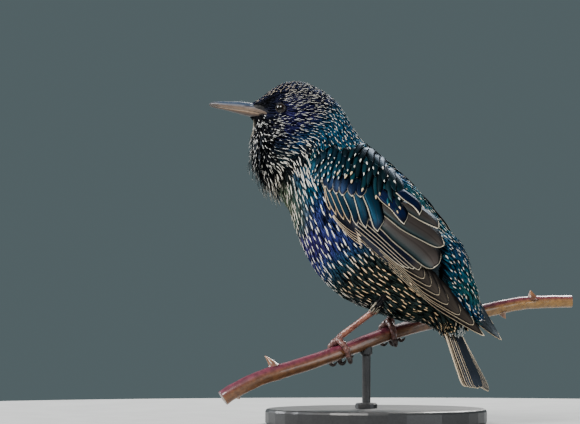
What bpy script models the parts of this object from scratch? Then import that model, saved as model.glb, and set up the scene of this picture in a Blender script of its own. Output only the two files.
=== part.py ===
# Life-size still model of a perched starling on a short cut branch, on a plain display stand.
# Metres, +Z up. The bird faces -X, its left side is -Y. The origin is the middle of the stand's underside.
import bpy
import bmesh
import math
import random
import numpy as np
from mathutils import Matrix, Vector

MM = 0.001
GAP = 0.3
SEED = 7
FEATHER_SOLVER = "MANIFOLD"

# Sizes in millimetres.
# Body stations from the tail's root to the bill: back point, front point (x, z), half width, turn in degrees.
STATIONS = (
    ("tail_root", (60.5, 59.2), (37.8, 49.2), 11.0, 0.0),
    ("vent", (59.1, 70.9), (29.7, 54.2), 14.5, 0.0),
    ("rump", (55.4, 80.9), (16.7, 55.5), 18.5, 0.0),
    ("thigh", (51.1, 91.7), (0.1, 60.9), 21.5, 0.0),
    ("belly", (43.4, 102.5), (-16.6, 66.9), 23.0, 0.0),
    ("flank", (34.4, 113.3), (-28.5, 75.5), 23.8, 0.0),
    ("breast", (24.9, 124.7), (-36.8, 85.8), 23.5, 0.0),
    ("shoulder", (14.3, 134.4), (-42.9, 96.6), 22.5, 0.0),
    ("mantle", (3.7, 143.0), (-47.2, 107.4), 20.5, 0.0),
    ("collar", (-7.3, 151.2), (-51.1, 118.1), 17.5, 0.0),
    ("neck", (-14.5, 158.7), (-57.5, 127.8), 15.5, 8.0),
    ("nape", (-18.7, 165.3), (-63.2, 136.4), 14.2, 16.0),
    ("throat", (-23.1, 171.9), (-66.4, 143.8), 13.5, 22.0),
    ("cheek", (-29.1, 177.8), (-67.4, 150.3), 13.0, 25.0),
    ("ear", (-37.2, 182.2), (-67.9, 155.7), 12.6, 25.0),
    ("crown", (-45.8, 184.6), (-68.5, 159.5), 12.2, 25.0),
    ("brow", (-53.9, 183.8), (-69.6, 162.7), 11.8, 25.0),
    ("lore", (-61.5, 179.5), (-71.2, 164.6), 10.6, 25.0),
    ("front", (-66.9, 175.4), (-72.5, 165.8), 9.2, 25.0),
    ("bill_edge", (-70.6, 173.5), (-73.6, 166.6), 8.0, 25.0),
)
# The head is turned about an upright axis, and the body sections are egg shaped.
NECK_AXIS_X = -39.3
HEAD_TURN = math.radians(25.0)
BODY_EGG = 0.08
CUT_COLLAR = 9.0
CUT_CHEEK = 12.75
BODY_AROUND = 30
# The face narrows from the temples to the corner of the mouth: x and share of the width kept.
FACE_X = (-75.0, -70.0, -66.0, -62.5, -59.0, -55.0, -50.0, -44.0)
FACE_K = (0.42, 0.43, 0.45, 0.50, 0.62, 0.78, 0.93, 1.0)

# Bill sections: x, ridge z, mouth line z, lower edge z, half width.
BILL = (
    (-94.0, 172.9, 172.4, 171.9, 0.45),
    (-92.6, 173.7, 172.0, 171.0, 1.00),
    (-90.0, 174.1, 171.4, 170.3, 1.50),
    (-86.0, 174.15, 170.8, 169.5, 2.10),
    (-81.5, 174.1, 170.1, 168.3, 2.65),
    (-77.0, 174.0, 169.5, 167.1, 3.20),
    (-73.0, 173.6, 169.0, 166.0, 3.75),
    (-69.0, 173.1, 168.3, 165.3, 4.35),
    (-65.2, 172.5, 167.4, 164.8, 4.95),
    (-61.8, 171.8, 166.5, 164.6, 5.30),
    (-58.6, 171.0, 166.2, 164.8, 4.60),
)
NOSTRIL = (-72.0, 171.9)
NOSTRIL_SIZE = (1.5, 0.8, 0.42)

EYE_AT = (-55.1, 170.3)
EYE_RADIUS = 3.1
EYE_SINK = 1.75
LID_RADIUS = 2.75
LID_TUBE = 0.5

# Wing sheet: origin, along axis (to the wing tip) and up axis in the x-z plane.
WING_AT = (-19.6, 126.0)
WING_P = (0.754, -0.657)
WING_Q = (0.657, 0.754)
WING_LOWER = (
    (-2.8, 0.4), (4.5, -3.3), (14.3, -5.4), (27.3, -6.3), (43.4, -6.6), (66.1, -6.8), (86.5, -7.0),
    (102.4, -5.3), (118.7, -0.5),
)
WING_UPPER = (
    (-9.8, 9.3), (-2.3, 13.7), (8.8, 14.9), (24.1, 13.9), (34.4, 17.1), (42.6, 17.8), (51.2, 21.7),
    (60.2, 23.1), (70.1, 18.1), (76.2, 11.5), (87.0, 7.4), (98.0, 4.8), (107.0, 3.1), (113.5, 1.7),
    (118.7, 0.3),
)
WING_CLEAR = 0.7
FAR_WING_DROOP = 2.2

# Feathers of the wing in the sheet's own places: root, tip, half width.
VANE_THICK = 0.6
PRIMARIES = (
    ((24.0, -3.6), (118.6, -0.3), 3.0), ((25.0, -3.2), (109.7, 0.1), 3.1), ((26.0, -2.8), (100.8, -0.4), 3.2),
    ((27.0, -2.4), (92.0, -0.2), 3.3), ((28.0, -2.0), (86.0, 0.7), 3.3), ((29.0, -1.6), (79.4, 0.9), 3.3),
    ((30.0, -1.2), (74.4, 1.9), 3.3),
)
SECONDARIES = (
    ((27.0, -1.4), (62.0, -0.4), 3.2), ((29.0, 0.6), (66.0, 1.4), 3.2), ((30.5, 2.6), (69.5, 3.2), 3.2),
    ((32.0, 4.6), (72.2, 5.0), 3.2),
)
TERTIALS = (
    ((35.0, 7.6), (75.4, 10.2), 4.7), ((36.0, 13.6), (69.4, 17.2), 4.5), ((38.0, 17.6), (60.4, 20.6), 2.9),
)
GREATER_COVERTS = (
    ((-1.0, 1.0), (11.8, -5.6), 2.7), ((2.5, 2.4), (19.2, -4.0), 2.9), ((6.5, 3.8), (25.9, -1.9), 3.0),
    ((10.5, 5.6), (30.6, 0.2), 3.0), ((14.5, 7.8), (34.8, 2.4), 3.0), ((18.5, 10.0), (39.0, 4.8), 3.1),
    ((23.0, 11.6), (42.0, 8.4), 3.2),
)
MEDIAN_COVERTS = (
    ((-8.0, 5.6), (-0.6, 0.6), 2.6), ((-3.5, 6.4), (4.8, 2.2), 2.8), ((0.5, 7.6), (10.2, 4.2), 2.8),
    ((4.5, 9.2), (14.4, 6.8), 2.9),
)
SCAPULARS = (
    ((-5.5, 14.6), (5.5, 10.2), 3.2), ((1.0, 16.0), (11.1, 10.2), 3.3), ((8.0, 16.0), (18.7, 10.0), 3.4),
    ((14.5, 17.4), (25.8, 12.4), 3.5), ((21.5, 18.2), (34.0, 14.0), 3.6), ((28.0, 19.0), (40.5, 15.4), 3.6),
    ((34.0, 17.6), (48.0, 14.8), 3.8), ((34.0, 20.4), (48.6, 20.2), 3.2),
)
ARM_REACH = 44.0
ARM_THICK = 2.7

# Locks of the throat: rows along the neck with their reach, and places round it.
LOCK_ROWS = ((11.7, 1.9, 5), (10.5, 2.1, 6), (9.5, 2.3, 6))
LOCK_HALF = 2.0

# Tail: start and end of its middle line (x, z), half widths and thickness there, roll in degrees.
TAIL_START = (45.6, 50.4)
TAIL_END = (60.6, 18.3)
TAIL_HALF = (9.5, 13.0)
TAIL_THICK = (6.0, 1.4)
TAIL_ROLL = 9.0
# What each next feather outward adds to the length, on the far and the near side.
FAR_TAIL_STEP = 0.4
NEAR_TAIL_STEP = -0.55

# Branch centre line with its radius, left cut end to right cut end.
PERCH = (
    (-62.6, -60.2, 14.4, 4.15),
    (-57.5, -56.2, 18.5, 4.1),
    (-46.0, -46.1, 25.5, 4.0),
    (-28.5, -28.4, 32.6, 3.95),
    (-12.2, -9.8, 40.1, 3.85),
    (2.7, 8.4, 47.8, 3.8),
    (23.1, 32.3, 55.3, 3.75),
    (43.4, 53.0, 60.7, 3.65),
    (57.3, 65.0, 64.2, 3.5),
    (68.6, 73.9, 65.0, 3.4),
    (80.5, 82.2, 65.2, 3.3),
)
# Thorns and buds: place along the line, angle round it from the top, height, foot radius, lean.
THORNS = (
    (0.235, 25.0, 7.0, 2.6, -0.35),
    (0.735, 168.0, 3.4, 2.4, 0.5),
    (0.845, -8.0, 3.2, 2.6, -0.3),
    (0.405, 70.0, 1.8, 1.5, 0.2),
    (0.10, 150.0, 2.6, 2.2, 0.4),
)

# Feet: joint above the branch (x, y, z), the end of the bare leg at the belly (x, y, z).
FEET = {
    "left": ((-14.9, -12.9, 47.2), (11.0, -12.6, 65.4)),
    "right": ((4.3, 10.4, 57.4), (27.0, 12.4, 75.5)),
}
LEG_RADIUS = (1.75, 1.45, 1.9)
THIGH_RADIUS = (2.9, 8.2)
THIGH_SHOWS = 4.2
# Toes: shift along the branch at the start and end, angle round it where the claw begins, radius.
TOES = {
    "inner": (-1.9, -5.4, 118.0, 1.40),
    "middle": (0.0, -0.4, 132.0, 1.50),
    "outer": (1.9, 5.2, 112.0, 1.40),
    "hind": (0.4, 1.6, -122.0, 1.60),
}
CLAW_ARC = {"inner": 58.0, "middle": 60.0, "outer": 56.0, "hind": -66.0}
CLAW_RISE = 1.5

BASE_RADIUS = 60.0
BASE_HEIGHT = 8.0
ROD_AT_X = -5.2
ROD_RADIUS = 2.3

COLOURS = {
    "plumage_head": (0.012, 0.011, 0.016, 0.38),
    "plumage_neck": (0.016, 0.016, 0.016, 0.42),
    "plumage_body": (0.030, 0.036, 0.034, 0.45),
    "plumage_wing": (0.045, 0.040, 0.036, 0.45),
    "plumage_tail": (0.090, 0.075, 0.062, 0.5),
    "bill_horn": (0.150, 0.115, 0.085, 0.32),
    "eye_gloss": (0.008, 0.005, 0.004, 0.05),
    "leg_skin": (0.180, 0.075, 0.050, 0.45),
    "claw_horn": (0.030, 0.020, 0.018, 0.3),
    "branch_bark": (0.160, 0.060, 0.045, 0.5),
    "stand_paint": (0.030, 0.030, 0.032, 0.45),
}


def clear_scene():
    for item in list(bpy.data.objects):
        bpy.data.objects.remove(item, do_unlink=True)


def material(name):
    found = bpy.data.materials.get(name)
    if found:
        return found
    r, g, b, rough = COLOURS[name]
    made = bpy.data.materials.new(name)
    made.use_nodes = True
    shader = made.node_tree.nodes["Principled BSDF"]
    shader.inputs["Base Color"].default_value = (r, g, b, 1.0)
    shader.inputs["Roughness"].default_value = rough
    made.diffuse_color = (r, g, b, 1.0)
    return made


def make_object(name, verts, faces, slot, smooth=True):
    mesh = bpy.data.meshes.new(name)
    mesh.from_pydata([tuple(float(c) * MM for c in v) for v in verts], [], faces)
    mesh.validate()
    work = bmesh.new()
    work.from_mesh(mesh)
    bmesh.ops.remove_doubles(work, verts=work.verts, dist=0.000002)
    bmesh.ops.recalc_face_normals(work, faces=work.faces)
    if work.calc_volume(signed=True) < 0:
        bmesh.ops.reverse_faces(work, faces=work.faces)
    work.to_mesh(mesh)
    work.free()
    mesh.materials.append(material(slot))
    for poly in mesh.polygons:
        poly.use_smooth = smooth
    made = bpy.data.objects.new(name, mesh)
    bpy.context.scene.collection.objects.link(made)
    return made


def tube_parts(rings):
    rings = [np.asarray(r, float) for r in rings]
    n = len(rings[0])
    verts = [v for ring in rings for v in ring]
    faces = []
    for i in range(len(rings) - 1):
        for j in range(n):
            k = (j + 1) % n
            faces.append((i * n + j, i * n + k, (i + 1) * n + k, (i + 1) * n + j))
    for start, ring in ((0, rings[0]), ((len(rings) - 1) * n, rings[-1])):
        verts.append(ring.mean(axis=0))
        middle = len(verts) - 1
        for j in range(n):
            faces.append((start + j, start + (j + 1) % n, middle))
    return verts, faces


def tube(name, rings, slot, smooth=True):
    verts, faces = tube_parts(rings)
    return make_object(name, verts, faces, slot, smooth)


def plate(name, outer, inner, slot, smooth=True):
    outer = np.asarray(outer, float)
    inner = np.asarray(inner, float)
    n, m = outer.shape[:2]
    verts = list(outer.reshape(-1, 3)) + list(inner.reshape(-1, 3))
    off = n * m
    faces = []
    for i in range(n - 1):
        for j in range(m - 1):
            a, b, c, d = i * m + j, (i + 1) * m + j, (i + 1) * m + j + 1, i * m + j + 1
            faces.append((a, b, c))
            faces.append((a, c, d))
            faces.append((off + c, off + b, off + a))
            faces.append((off + d, off + c, off + a))
    rim = [(i, 0) for i in range(n)] + [(n - 1, j) for j in range(1, m)]
    rim += [(i, m - 1) for i in range(n - 2, -1, -1)] + [(0, j) for j in range(m - 2, 0, -1)]
    for k in range(len(rim)):
        a = rim[k][0] * m + rim[k][1]
        nxt = rim[(k + 1) % len(rim)]
        b = nxt[0] * m + nxt[1]
        faces.append((b, a, off + a))
        faces.append((b, off + a, off + b))
    return make_object(name, verts, faces, slot, smooth)


def keep_largest(item, flatten=0.0):
    work = bmesh.new()
    work.from_mesh(item.data)
    bmesh.ops.remove_doubles(work, verts=work.verts, dist=0.000002)
    bmesh.ops.dissolve_degenerate(work, dist=0.000002, edges=work.edges)
    seen = set()
    groups = []
    for face in work.faces:
        if face in seen:
            continue
        stack = [face]
        seen.add(face)
        group = []
        while stack:
            here = stack.pop()
            group.append(here)
            for edge in here.edges:
                for other in edge.link_faces:
                    if other not in seen:
                        seen.add(other)
                        stack.append(other)
        groups.append(group)
    if len(groups) > 1:
        groups.sort(key=lambda g: -sum(f.calc_area() for f in g))
        lost = [f for g in groups[1:] for f in g]
        bmesh.ops.delete(work, geom=lost, context="FACES")
    loose = [v for v in work.verts if not v.link_faces]
    bmesh.ops.delete(work, geom=loose, context="VERTS")
    if flatten:
        bmesh.ops.dissolve_limit(
            work, angle_limit=math.radians(flatten), verts=work.verts, edges=work.edges)
    bmesh.ops.triangulate(work, faces=work.faces)
    bmesh.ops.recalc_face_normals(work, faces=work.faces)
    if work.calc_volume(signed=True) < 0:
        bmesh.ops.reverse_faces(work, faces=work.faces)
    work.to_mesh(item.data)
    work.free()


def combine(item, others, operation, solver="EXACT", smooth=True, flatten=0.0):
    group = bpy.data.collections.new("parts_of_" + item.name)
    bpy.context.scene.collection.children.link(group)
    for other in others:
        for holder in list(other.users_collection):
            holder.objects.unlink(other)
        group.objects.link(other)
    step = item.modifiers.new("combine", "BOOLEAN")
    step.operation = operation
    step.operand_type = "COLLECTION"
    step.collection = group
    step.solver = solver
    graph = bpy.context.evaluated_depsgraph_get()
    graph.update()
    mesh = bpy.data.meshes.new_from_object(item.evaluated_get(graph))
    item.modifiers.remove(step)
    old = item.data
    item.data = mesh
    bpy.data.meshes.remove(old)
    mesh.name = item.name
    for other in list(group.objects):
        bpy.data.objects.remove(other, do_unlink=True)
    bpy.data.collections.remove(group)
    keep_largest(item, flatten)
    for poly in item.data.polygons:
        poly.use_smooth = smooth
    return item


def catmull(rows, s):
    n = len(rows)
    s = np.clip(s, 0.0, n - 1 - 1e-9)
    i = s.astype(int)
    f = (s - i)[..., None]
    p0 = rows[np.maximum(i - 1, 0)]
    p1 = rows[i]
    p2 = rows[np.minimum(i + 1, n - 1)]
    p3 = rows[np.minimum(i + 2, n - 1)]
    square = 2 * p0 - 5 * p1 + 4 * p2 - p3
    cube = 3 * p1 - p0 - 3 * p2 + p3
    return 0.5 * (2 * p1 + (p2 - p0) * f + square * f * f + cube * f ** 3)


STATION_ROWS = np.array([(d[0], d[1], v[0], v[1], w, t) for _, d, v, w, t in STATIONS])


def body_point(s, t, grow=0.0):
    s, t = np.broadcast_arrays(np.asarray(s, float), np.asarray(t, float))
    q = catmull(STATION_ROWS, s)
    back, front, width = q[..., 0:2], q[..., 2:4], q[..., 4]
    turn = np.radians(q[..., 5])
    middle = (back + front) / 2
    half = (back - front) / 2
    size = np.linalg.norm(half, axis=-1)
    stretch = 1 + grow / size
    x = middle[..., 0] + half[..., 0] * np.cos(t) * stretch
    z = middle[..., 1] + half[..., 1] * np.cos(t) * stretch
    y = (width + grow) * np.sin(t) * (1 - BODY_EGG * np.cos(t))
    share = np.where(s > 13.2, np.interp(x, FACE_X, FACE_K), 1.0)
    fade = np.clip((s - 12.9) / 0.9, 0, 1)
    y = y * (1 + (share - 1) * fade)
    dx = x - NECK_AXIS_X
    return np.stack([
        NECK_AXIS_X + np.cos(turn) * dx - np.sin(turn) * y,
        np.sin(turn) * dx + np.cos(turn) * y,
        z,
    ], -1)


def body_rings(start, end, count, grow=0.0):
    around = np.linspace(0, 2 * math.pi, BODY_AROUND, endpoint=False)
    return [body_point(s, around, grow) for s in np.linspace(start, end, count)]


def head_point(x, y, z):
    turn = HEAD_TURN
    dx = x - NECK_AXIS_X
    return np.array([
        NECK_AXIS_X + math.cos(turn) * dx - math.sin(turn) * y,
        math.sin(turn) * dx + math.cos(turn) * y,
        z,
    ])


def torso_half_width(x, z):
    # Half width of the body at a side-view place, nought outside the outline.
    x, z = np.broadcast_arrays(np.asarray(x, float), np.asarray(z, float))
    lo = np.zeros(x.shape)
    hi = np.full(x.shape, 9.4)

    def side(s):
        q = catmull(STATION_ROWS, s)
        bx, bz, fx, fz = q[..., 0], q[..., 1], q[..., 2], q[..., 3]
        return (fx - bx) * (z - bz) - (fz - bz) * (x - bx)

    at_low = side(lo)
    for _ in range(26):
        mid = (lo + hi) / 2
        same = np.sign(side(mid)) == np.sign(at_low)
        lo = np.where(same, mid, lo)
        hi = np.where(same, hi, mid)
    q = catmull(STATION_ROWS, lo)
    back, front, width = q[..., 0:2], q[..., 2:4], q[..., 4]
    line = front - back
    along = ((x - back[..., 0]) * line[..., 0] + (z - back[..., 1]) * line[..., 1]) / (line ** 2).sum(-1)
    c = np.clip(1 - 2 * along, -1, 1)
    inside = (np.abs(side(lo)) < 2.0)
    return np.where(inside, width * np.sqrt(1 - c * c) * (1 - BODY_EGG * c), 0.0)


def turned_sphere(name, middle, size, turn, slot, across=24, down=12):
    mesh = bpy.data.meshes.new(name)
    work = bmesh.new()
    bmesh.ops.create_uvsphere(work, u_segments=across, v_segments=down, radius=1.0)
    place = Matrix.Translation(Vector(middle) * MM) @ Matrix.Rotation(turn, 4, "Z")
    place = place @ Matrix.Diagonal((size[0] * MM, size[1] * MM, size[2] * MM, 1.0))
    bmesh.ops.transform(work, matrix=place, verts=work.verts)
    work.to_mesh(mesh)
    work.free()
    mesh.materials.append(material(slot))
    for poly in mesh.polygons:
        poly.use_smooth = True
    made = bpy.data.objects.new(name, mesh)
    bpy.context.scene.collection.objects.link(made)
    return made


def sphere(name, middle, radius, slot, across=24, down=12):
    return turned_sphere(name, middle, (radius, radius, radius), 0.0, slot, across, down)


# Bill
def bill_section(row, part, grow):
    x, ridge, mouth, low, half = row
    half += grow
    points = []
    if part == "upper":
        base = mouth + GAP / 2
        rise = ridge - base
        for j in range(11):
            a = math.pi * j / 10
            points.append((x, half * math.cos(a), base + rise * math.sin(a) ** 0.8))
        points.append((x, -half * 0.45, base + 0.25 * min(rise, 1.0)))
        points.append((x, half * 0.45, base + 0.25 * min(rise, 1.0)))
    elif part == "lower":
        top = mouth - GAP / 2
        drop = top - low
        for j in range(9):
            a = math.pi * j / 8
            points.append((x, 0.94 * half * math.cos(a), top - drop * math.sin(a) ** 0.8))
        points.append((x, -half * 0.4, top))
        points.append((x, half * 0.4, top))
    else:
        for j in range(16):
            a = 2 * math.pi * j / 16
            up = ridge + grow - mouth
            down = mouth - low + grow
            s, c = math.sin(a), math.cos(a)
            reach = up if s > 0 else down
            points.append((x, half * c, mouth + reach * math.copysign(abs(s) ** 0.8, s)))
    return [head_point(*p) for p in points]


def bill_rows(part, grow=0.0):
    rows = np.array(BILL)
    steps = np.linspace(0, len(rows) - 1, 14)
    fine = catmull(rows, steps)
    if grow:
        fine[-1][0] += grow
        fine[0][0] -= grow
    return [bill_section(row, part, grow) for row in fine]


def make_bill():
    upper = tube("bill_upper", bill_rows("upper"), "bill_horn")
    lower = tube("bill_lower", bill_rows("lower"), "bill_horn")
    cutters = []
    for sign in (-1, 1):
        half = np.interp(NOSTRIL[0], [r[0] for r in BILL], [r[4] for r in BILL]) * 0.72
        at = head_point(NOSTRIL[0], sign * half, NOSTRIL[1])
        cutters.append(turned_sphere("nostril_cutter", at, NOSTRIL_SIZE, HEAD_TURN, "bill_horn", 12, 6))
    combine(upper, cutters, "DIFFERENCE", "EXACT", True, 1.5)
    return upper, lower


# Head
def head_surface_y(x, z, sign):
    # Nearest point of the head's surface to a side-view place.
    s = np.linspace(13.0, 18.8, 150)[:, None]
    t = (np.linspace(0.02, math.pi - 0.02, 160) * sign)[None, :]
    points = body_point(s, t)
    dx = points[..., 0] - NECK_AXIS_X
    turn = HEAD_TURN
    px = NECK_AXIS_X + math.cos(turn) * dx + math.sin(turn) * points[..., 1]
    gap = (px - x) ** 2 + (points[..., 2] - z) ** 2
    i, j = np.unravel_index(np.argmin(gap), gap.shape)
    a = points[min(i + 2, 149), j] - points[max(i - 2, 0), j]
    b = points[i, min(j + 2, 159)] - points[i, max(j - 2, 0)]
    normal = np.cross(a, b)
    normal /= np.linalg.norm(normal)
    outward = head_point(x, sign * 30.0, z) - points[i, j]
    if np.dot(normal, outward) < 0:
        normal = -normal
    return points[i, j], normal


def eye_frames():
    frames = {}
    for side, sign in (("left", -1), ("right", 1)):
        at, normal = head_surface_y(EYE_AT[0], EYE_AT[1], sign)
        frames[side] = (at - normal * EYE_SINK, at, normal)
    return frames


def lid_ring(name, middle, normal):
    turn = Vector(normal).to_track_quat("Z", "Y").to_euler()
    bpy.ops.mesh.primitive_torus_add(
        major_radius=LID_RADIUS * MM, minor_radius=LID_TUBE * MM, major_segments=16, minor_segments=6,
        location=Vector(middle) * MM, rotation=turn)
    made = bpy.context.active_object
    made.name = name
    made.data.transform(made.matrix_world)
    made.matrix_world = Matrix.Identity(4)
    made.data.materials.append(material("plumage_head"))
    return made


def make_head():
    gap_s = 0.02
    head = tube("head", body_rings(CUT_CHEEK + gap_s, 19.0, 16), "plumage_head")
    eyes = eye_frames()
    lids = []
    for side in ("left", "right"):
        middle, at, normal = eyes[side]
        lids.append(lid_ring("lid_" + side, at + normal * 0.12, normal))
    combine(head, lids, "UNION")
    cutters = [tube("bill_socket", bill_rows("whole", GAP), "plumage_head")]
    for side in ("left", "right"):
        cutters.append(sphere("eye_socket", eyes[side][0], EYE_RADIUS + GAP, "plumage_head", 16, 8))
    combine(head, cutters, "DIFFERENCE", "EXACT", True, 2.0)
    for side in ("left", "right"):
        sphere("eye_" + side, eyes[side][0], EYE_RADIUS, "eye_gloss", 16, 10)
    return head


def make_neck():
    neck = tube("neck", body_rings(CUT_COLLAR + 0.02, CUT_CHEEK - 0.02, 10), "plumage_neck")
    rng = random.Random(SEED)
    locks = []
    for row, (start, reach, count) in enumerate(LOCK_ROWS):
        for i in range(count):
            share = (i + 0.5 * (row % 2) + 0.25) / count
            t = math.pi + math.radians(-62.0 + 124.0 * share)
            reach_here = reach * (0.92 + 0.16 * rng.random())
            lift = 1.25 + 0.5 * rng.random()
            side_step = math.radians(rng.uniform(-3, 3))
            u = np.linspace(0, 1, 5)
            v = np.array((-1.0, 0.0, 1.0))
            s_line = start - reach_here * u
            width = LOCK_HALF * np.interp(u, (0, 0.3, 0.7, 1.0), (0.8, 1.0, 0.75, 0.22))
            t_all = (t + side_step * u)[:, None] + (width / 15.0)[:, None] * v
            s_all = s_line[:, None] + 0 * t_all
            h = np.interp(u, (0, 0.3, 0.7, 1.0), (-0.7, 0.85, 1.4, lift + 0.4))[:, None] + 0.15 * (v == 0)
            outer = body_point(s_all, t_all, h + VANE_THICK / 2)
            inner = body_point(s_all, t_all, h - VANE_THICK / 2)
            locks.append(plate("throat_lock", outer, inner, "plumage_neck"))
    return combine(neck, locks, "UNION", FEATHER_SOLVER, True, 3.0)


def make_torso():
    return tube("torso", body_rings(0.0, CUT_COLLAR - 0.02, 24), "plumage_body")


# Wings
def smooth_max(a, b, soft):
    return 0.5 * (a + b + np.sqrt((a - b) ** 2 + soft * soft))


def wing_place(p, q, side):
    if side == "right":
        q = q - math.radians(FAR_WING_DROOP) * np.clip((p - 20) / 60, 0, 1) * (p - 20)
    x = WING_AT[0] + p * WING_P[0] + q * WING_Q[0]
    z = WING_AT[1] + p * WING_P[1] + q * WING_Q[1]
    return x, z


def wing_level(p, q, side):
    x, z = wing_place(p, q, side)
    under = torso_half_width(x, z) + WING_CLEAR
    ramp = 24.6 - 0.128 * np.maximum(p - 40, 0) - 0.05 * np.maximum(q - 4, 0) ** 2
    ramp = ramp - 0.010 * np.maximum(15 - p, 0) ** 2 - 0.02 * np.maximum(-1 - q, 0) ** 2
    return smooth_max(under, ramp, 1.0)


def wing_point(p, q, h, side):
    # Along and up places on the wing sheet, and the height off it.
    p, q, h = np.broadcast_arrays(np.asarray(p, float), np.asarray(q, float), np.asarray(h, float))
    e = 0.8
    y0 = wing_level(p, q, side)
    dp = (wing_level(p + e, q, side) - wing_level(p - e, q, side)) / (2 * e)
    dq = (wing_level(p, q + e, side) - wing_level(p, q - e, side)) / (2 * e)
    dp = np.clip(dp, -0.6, 0.6)
    dq = np.clip(dq, -1.2, 1.2)
    size = np.sqrt(1 + dp * dp + dq * dq)
    x, z = wing_place(p - dp / size * h, q - dq / size * h, side)
    sign = -1.0 if side == "left" else 1.0
    return np.stack([x, sign * (y0 + h / size), z], -1)


def edge_curve(points, count):
    points = np.array(points)
    steps = np.concatenate([[0], np.cumsum(np.linalg.norm(np.diff(points, axis=0), axis=1))])
    at = np.linspace(0, steps[-1], count)
    return np.stack([np.interp(at, steps, points[:, 0]), np.interp(at, steps, points[:, 1])], -1)


def vane(name, place, root, tip, half, heights, tilt, slot, rows=6, bend=0.0, blunt=0.3, lean=0.0):
    # A flat feather: place(along, up, height) gives a point, root and tip are places in its plane.
    # lean moves its middle off the line from root to tip, as a share of the width there.
    root = np.array(root, float)
    run = np.array(tip, float) - root
    size = np.linalg.norm(run)
    run = run / size
    up = np.array((-run[1], run[0]))
    u = np.linspace(0, 1, rows) ** 0.85
    v = np.array((-1.0, 0.0, 1.0))
    width = half * np.interp(u, (0.0, 0.25, 0.75, 0.93, 1.0), (0.6, 1.0, 0.95, 0.62, blunt))
    across = bend * np.sin(u * math.pi) + lean * (width - half * blunt)
    line = root + (u * size)[:, None] * run + across[:, None] * up
    p = line[:, 0:1] + up[0] * width[:, None] * v
    q = line[:, 1:2] + up[1] * width[:, None] * v
    h = (heights[0] + (heights[1] - heights[0]) * u)[:, None] - tilt * v + 0.12 * (v == 0)
    outer = place(p, q, h + VANE_THICK / 2)
    inner = place(p, q, h - VANE_THICK / 2)
    return plate(name, outer, inner, slot)


def make_wing(side):
    slot = "plumage_wing"
    n, m = 15, 7
    shares = np.linspace(0, 1, n)
    low = edge_curve([r for r in WING_LOWER if r[0] < ARM_REACH + 8], n)
    high = edge_curve([r for r in WING_UPPER if r[0] < ARM_REACH], n)
    v = np.linspace(0.03, 0.96, m)[None, :]
    p = low[:, 0:1] * (1 - v) + high[:, 0:1] * v
    q = low[:, 1:2] * (1 - v) + high[:, 1:2] * v
    edge = np.clip(np.minimum(shares / 0.22, (1 - shares) / 0.3), 0, 1)[:, None]
    round_off = np.sin(np.clip(v, 0.03, 0.97) * math.pi) ** 0.5
    thick = 0.7 + (ARM_THICK - 0.7) * np.sqrt(edge) * round_off
    core = plate("wing_" + side, wing_point(p, q, thick, side), wing_point(p, q, 0 * p, side), slot)

    def place(a, b, h):
        return wing_point(a, b, np.maximum(h, 0.02), side)

    vanes = []

    def add(name, row, heights, tilt, rows, bend=0.0, blunt=0.5, lean=0.0):
        root, tip, half = row
        vanes.append(vane(name, place, root, tip, half, heights, tilt, slot, rows, bend, blunt, lean))

    for i, row in enumerate(PRIMARIES):
        add("primary", row, (0.35 + 0.2 * i, 0.35 + 0.27 * i), 0.12, 6, -3.7 + 0.62 * i, 0.25, 0.55)
    for i, row in enumerate(SECONDARIES):
        add("secondary", row, (1.7 + 0.2 * i, 2.05 + 0.28 * i), 0.14, 5, -0.8, 0.45, 0.4)
    for i, row in enumerate(TERTIALS):
        add("tertial", row, (1.9 + 0.2 * i, 2.9 + 0.35 * i), 0.16, 6, -0.5, 0.42)
    for i, row in enumerate(GREATER_COVERTS):
        add("greater_covert", row, (1.7 + 0.06 * i, 2.35 + 0.2 * i), 0.16, 4, -0.4)
    for i, row in enumerate(MEDIAN_COVERTS):
        add("median_covert", row, (1.6, 2.9 + 0.1 * i), 0.14, 4)
    for i, row in enumerate(SCAPULARS):
        add("scapular", row, (1.6 + 0.1 * i, 3.3 + 0.18 * i), 0.14, 4)
    return combine(core, vanes, "UNION", FEATHER_SOLVER, True, 3.0)


# Tail
def tail_point(along, across, height):
    # Along from 0 to 1, across in millimetres to the right, height above the middle line.
    start = np.array(TAIL_START)
    end = np.array(TAIL_END)
    run = end - start
    size = np.linalg.norm(run)
    run = run / size
    up = np.array((-run[1], run[0]))
    roll = math.radians(TAIL_ROLL)
    along, across, height = np.broadcast_arrays(
        np.asarray(along, float), np.asarray(across, float), np.asarray(height, float))
    side = across * math.cos(roll) - height * math.sin(roll)
    rise = height * math.cos(roll) + across * math.sin(roll)
    x = start[0] + run[0] * size * along + up[0] * rise
    z = start[1] + run[1] * size * along + up[1] * rise
    return np.stack([x, side, z], -1)


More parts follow.
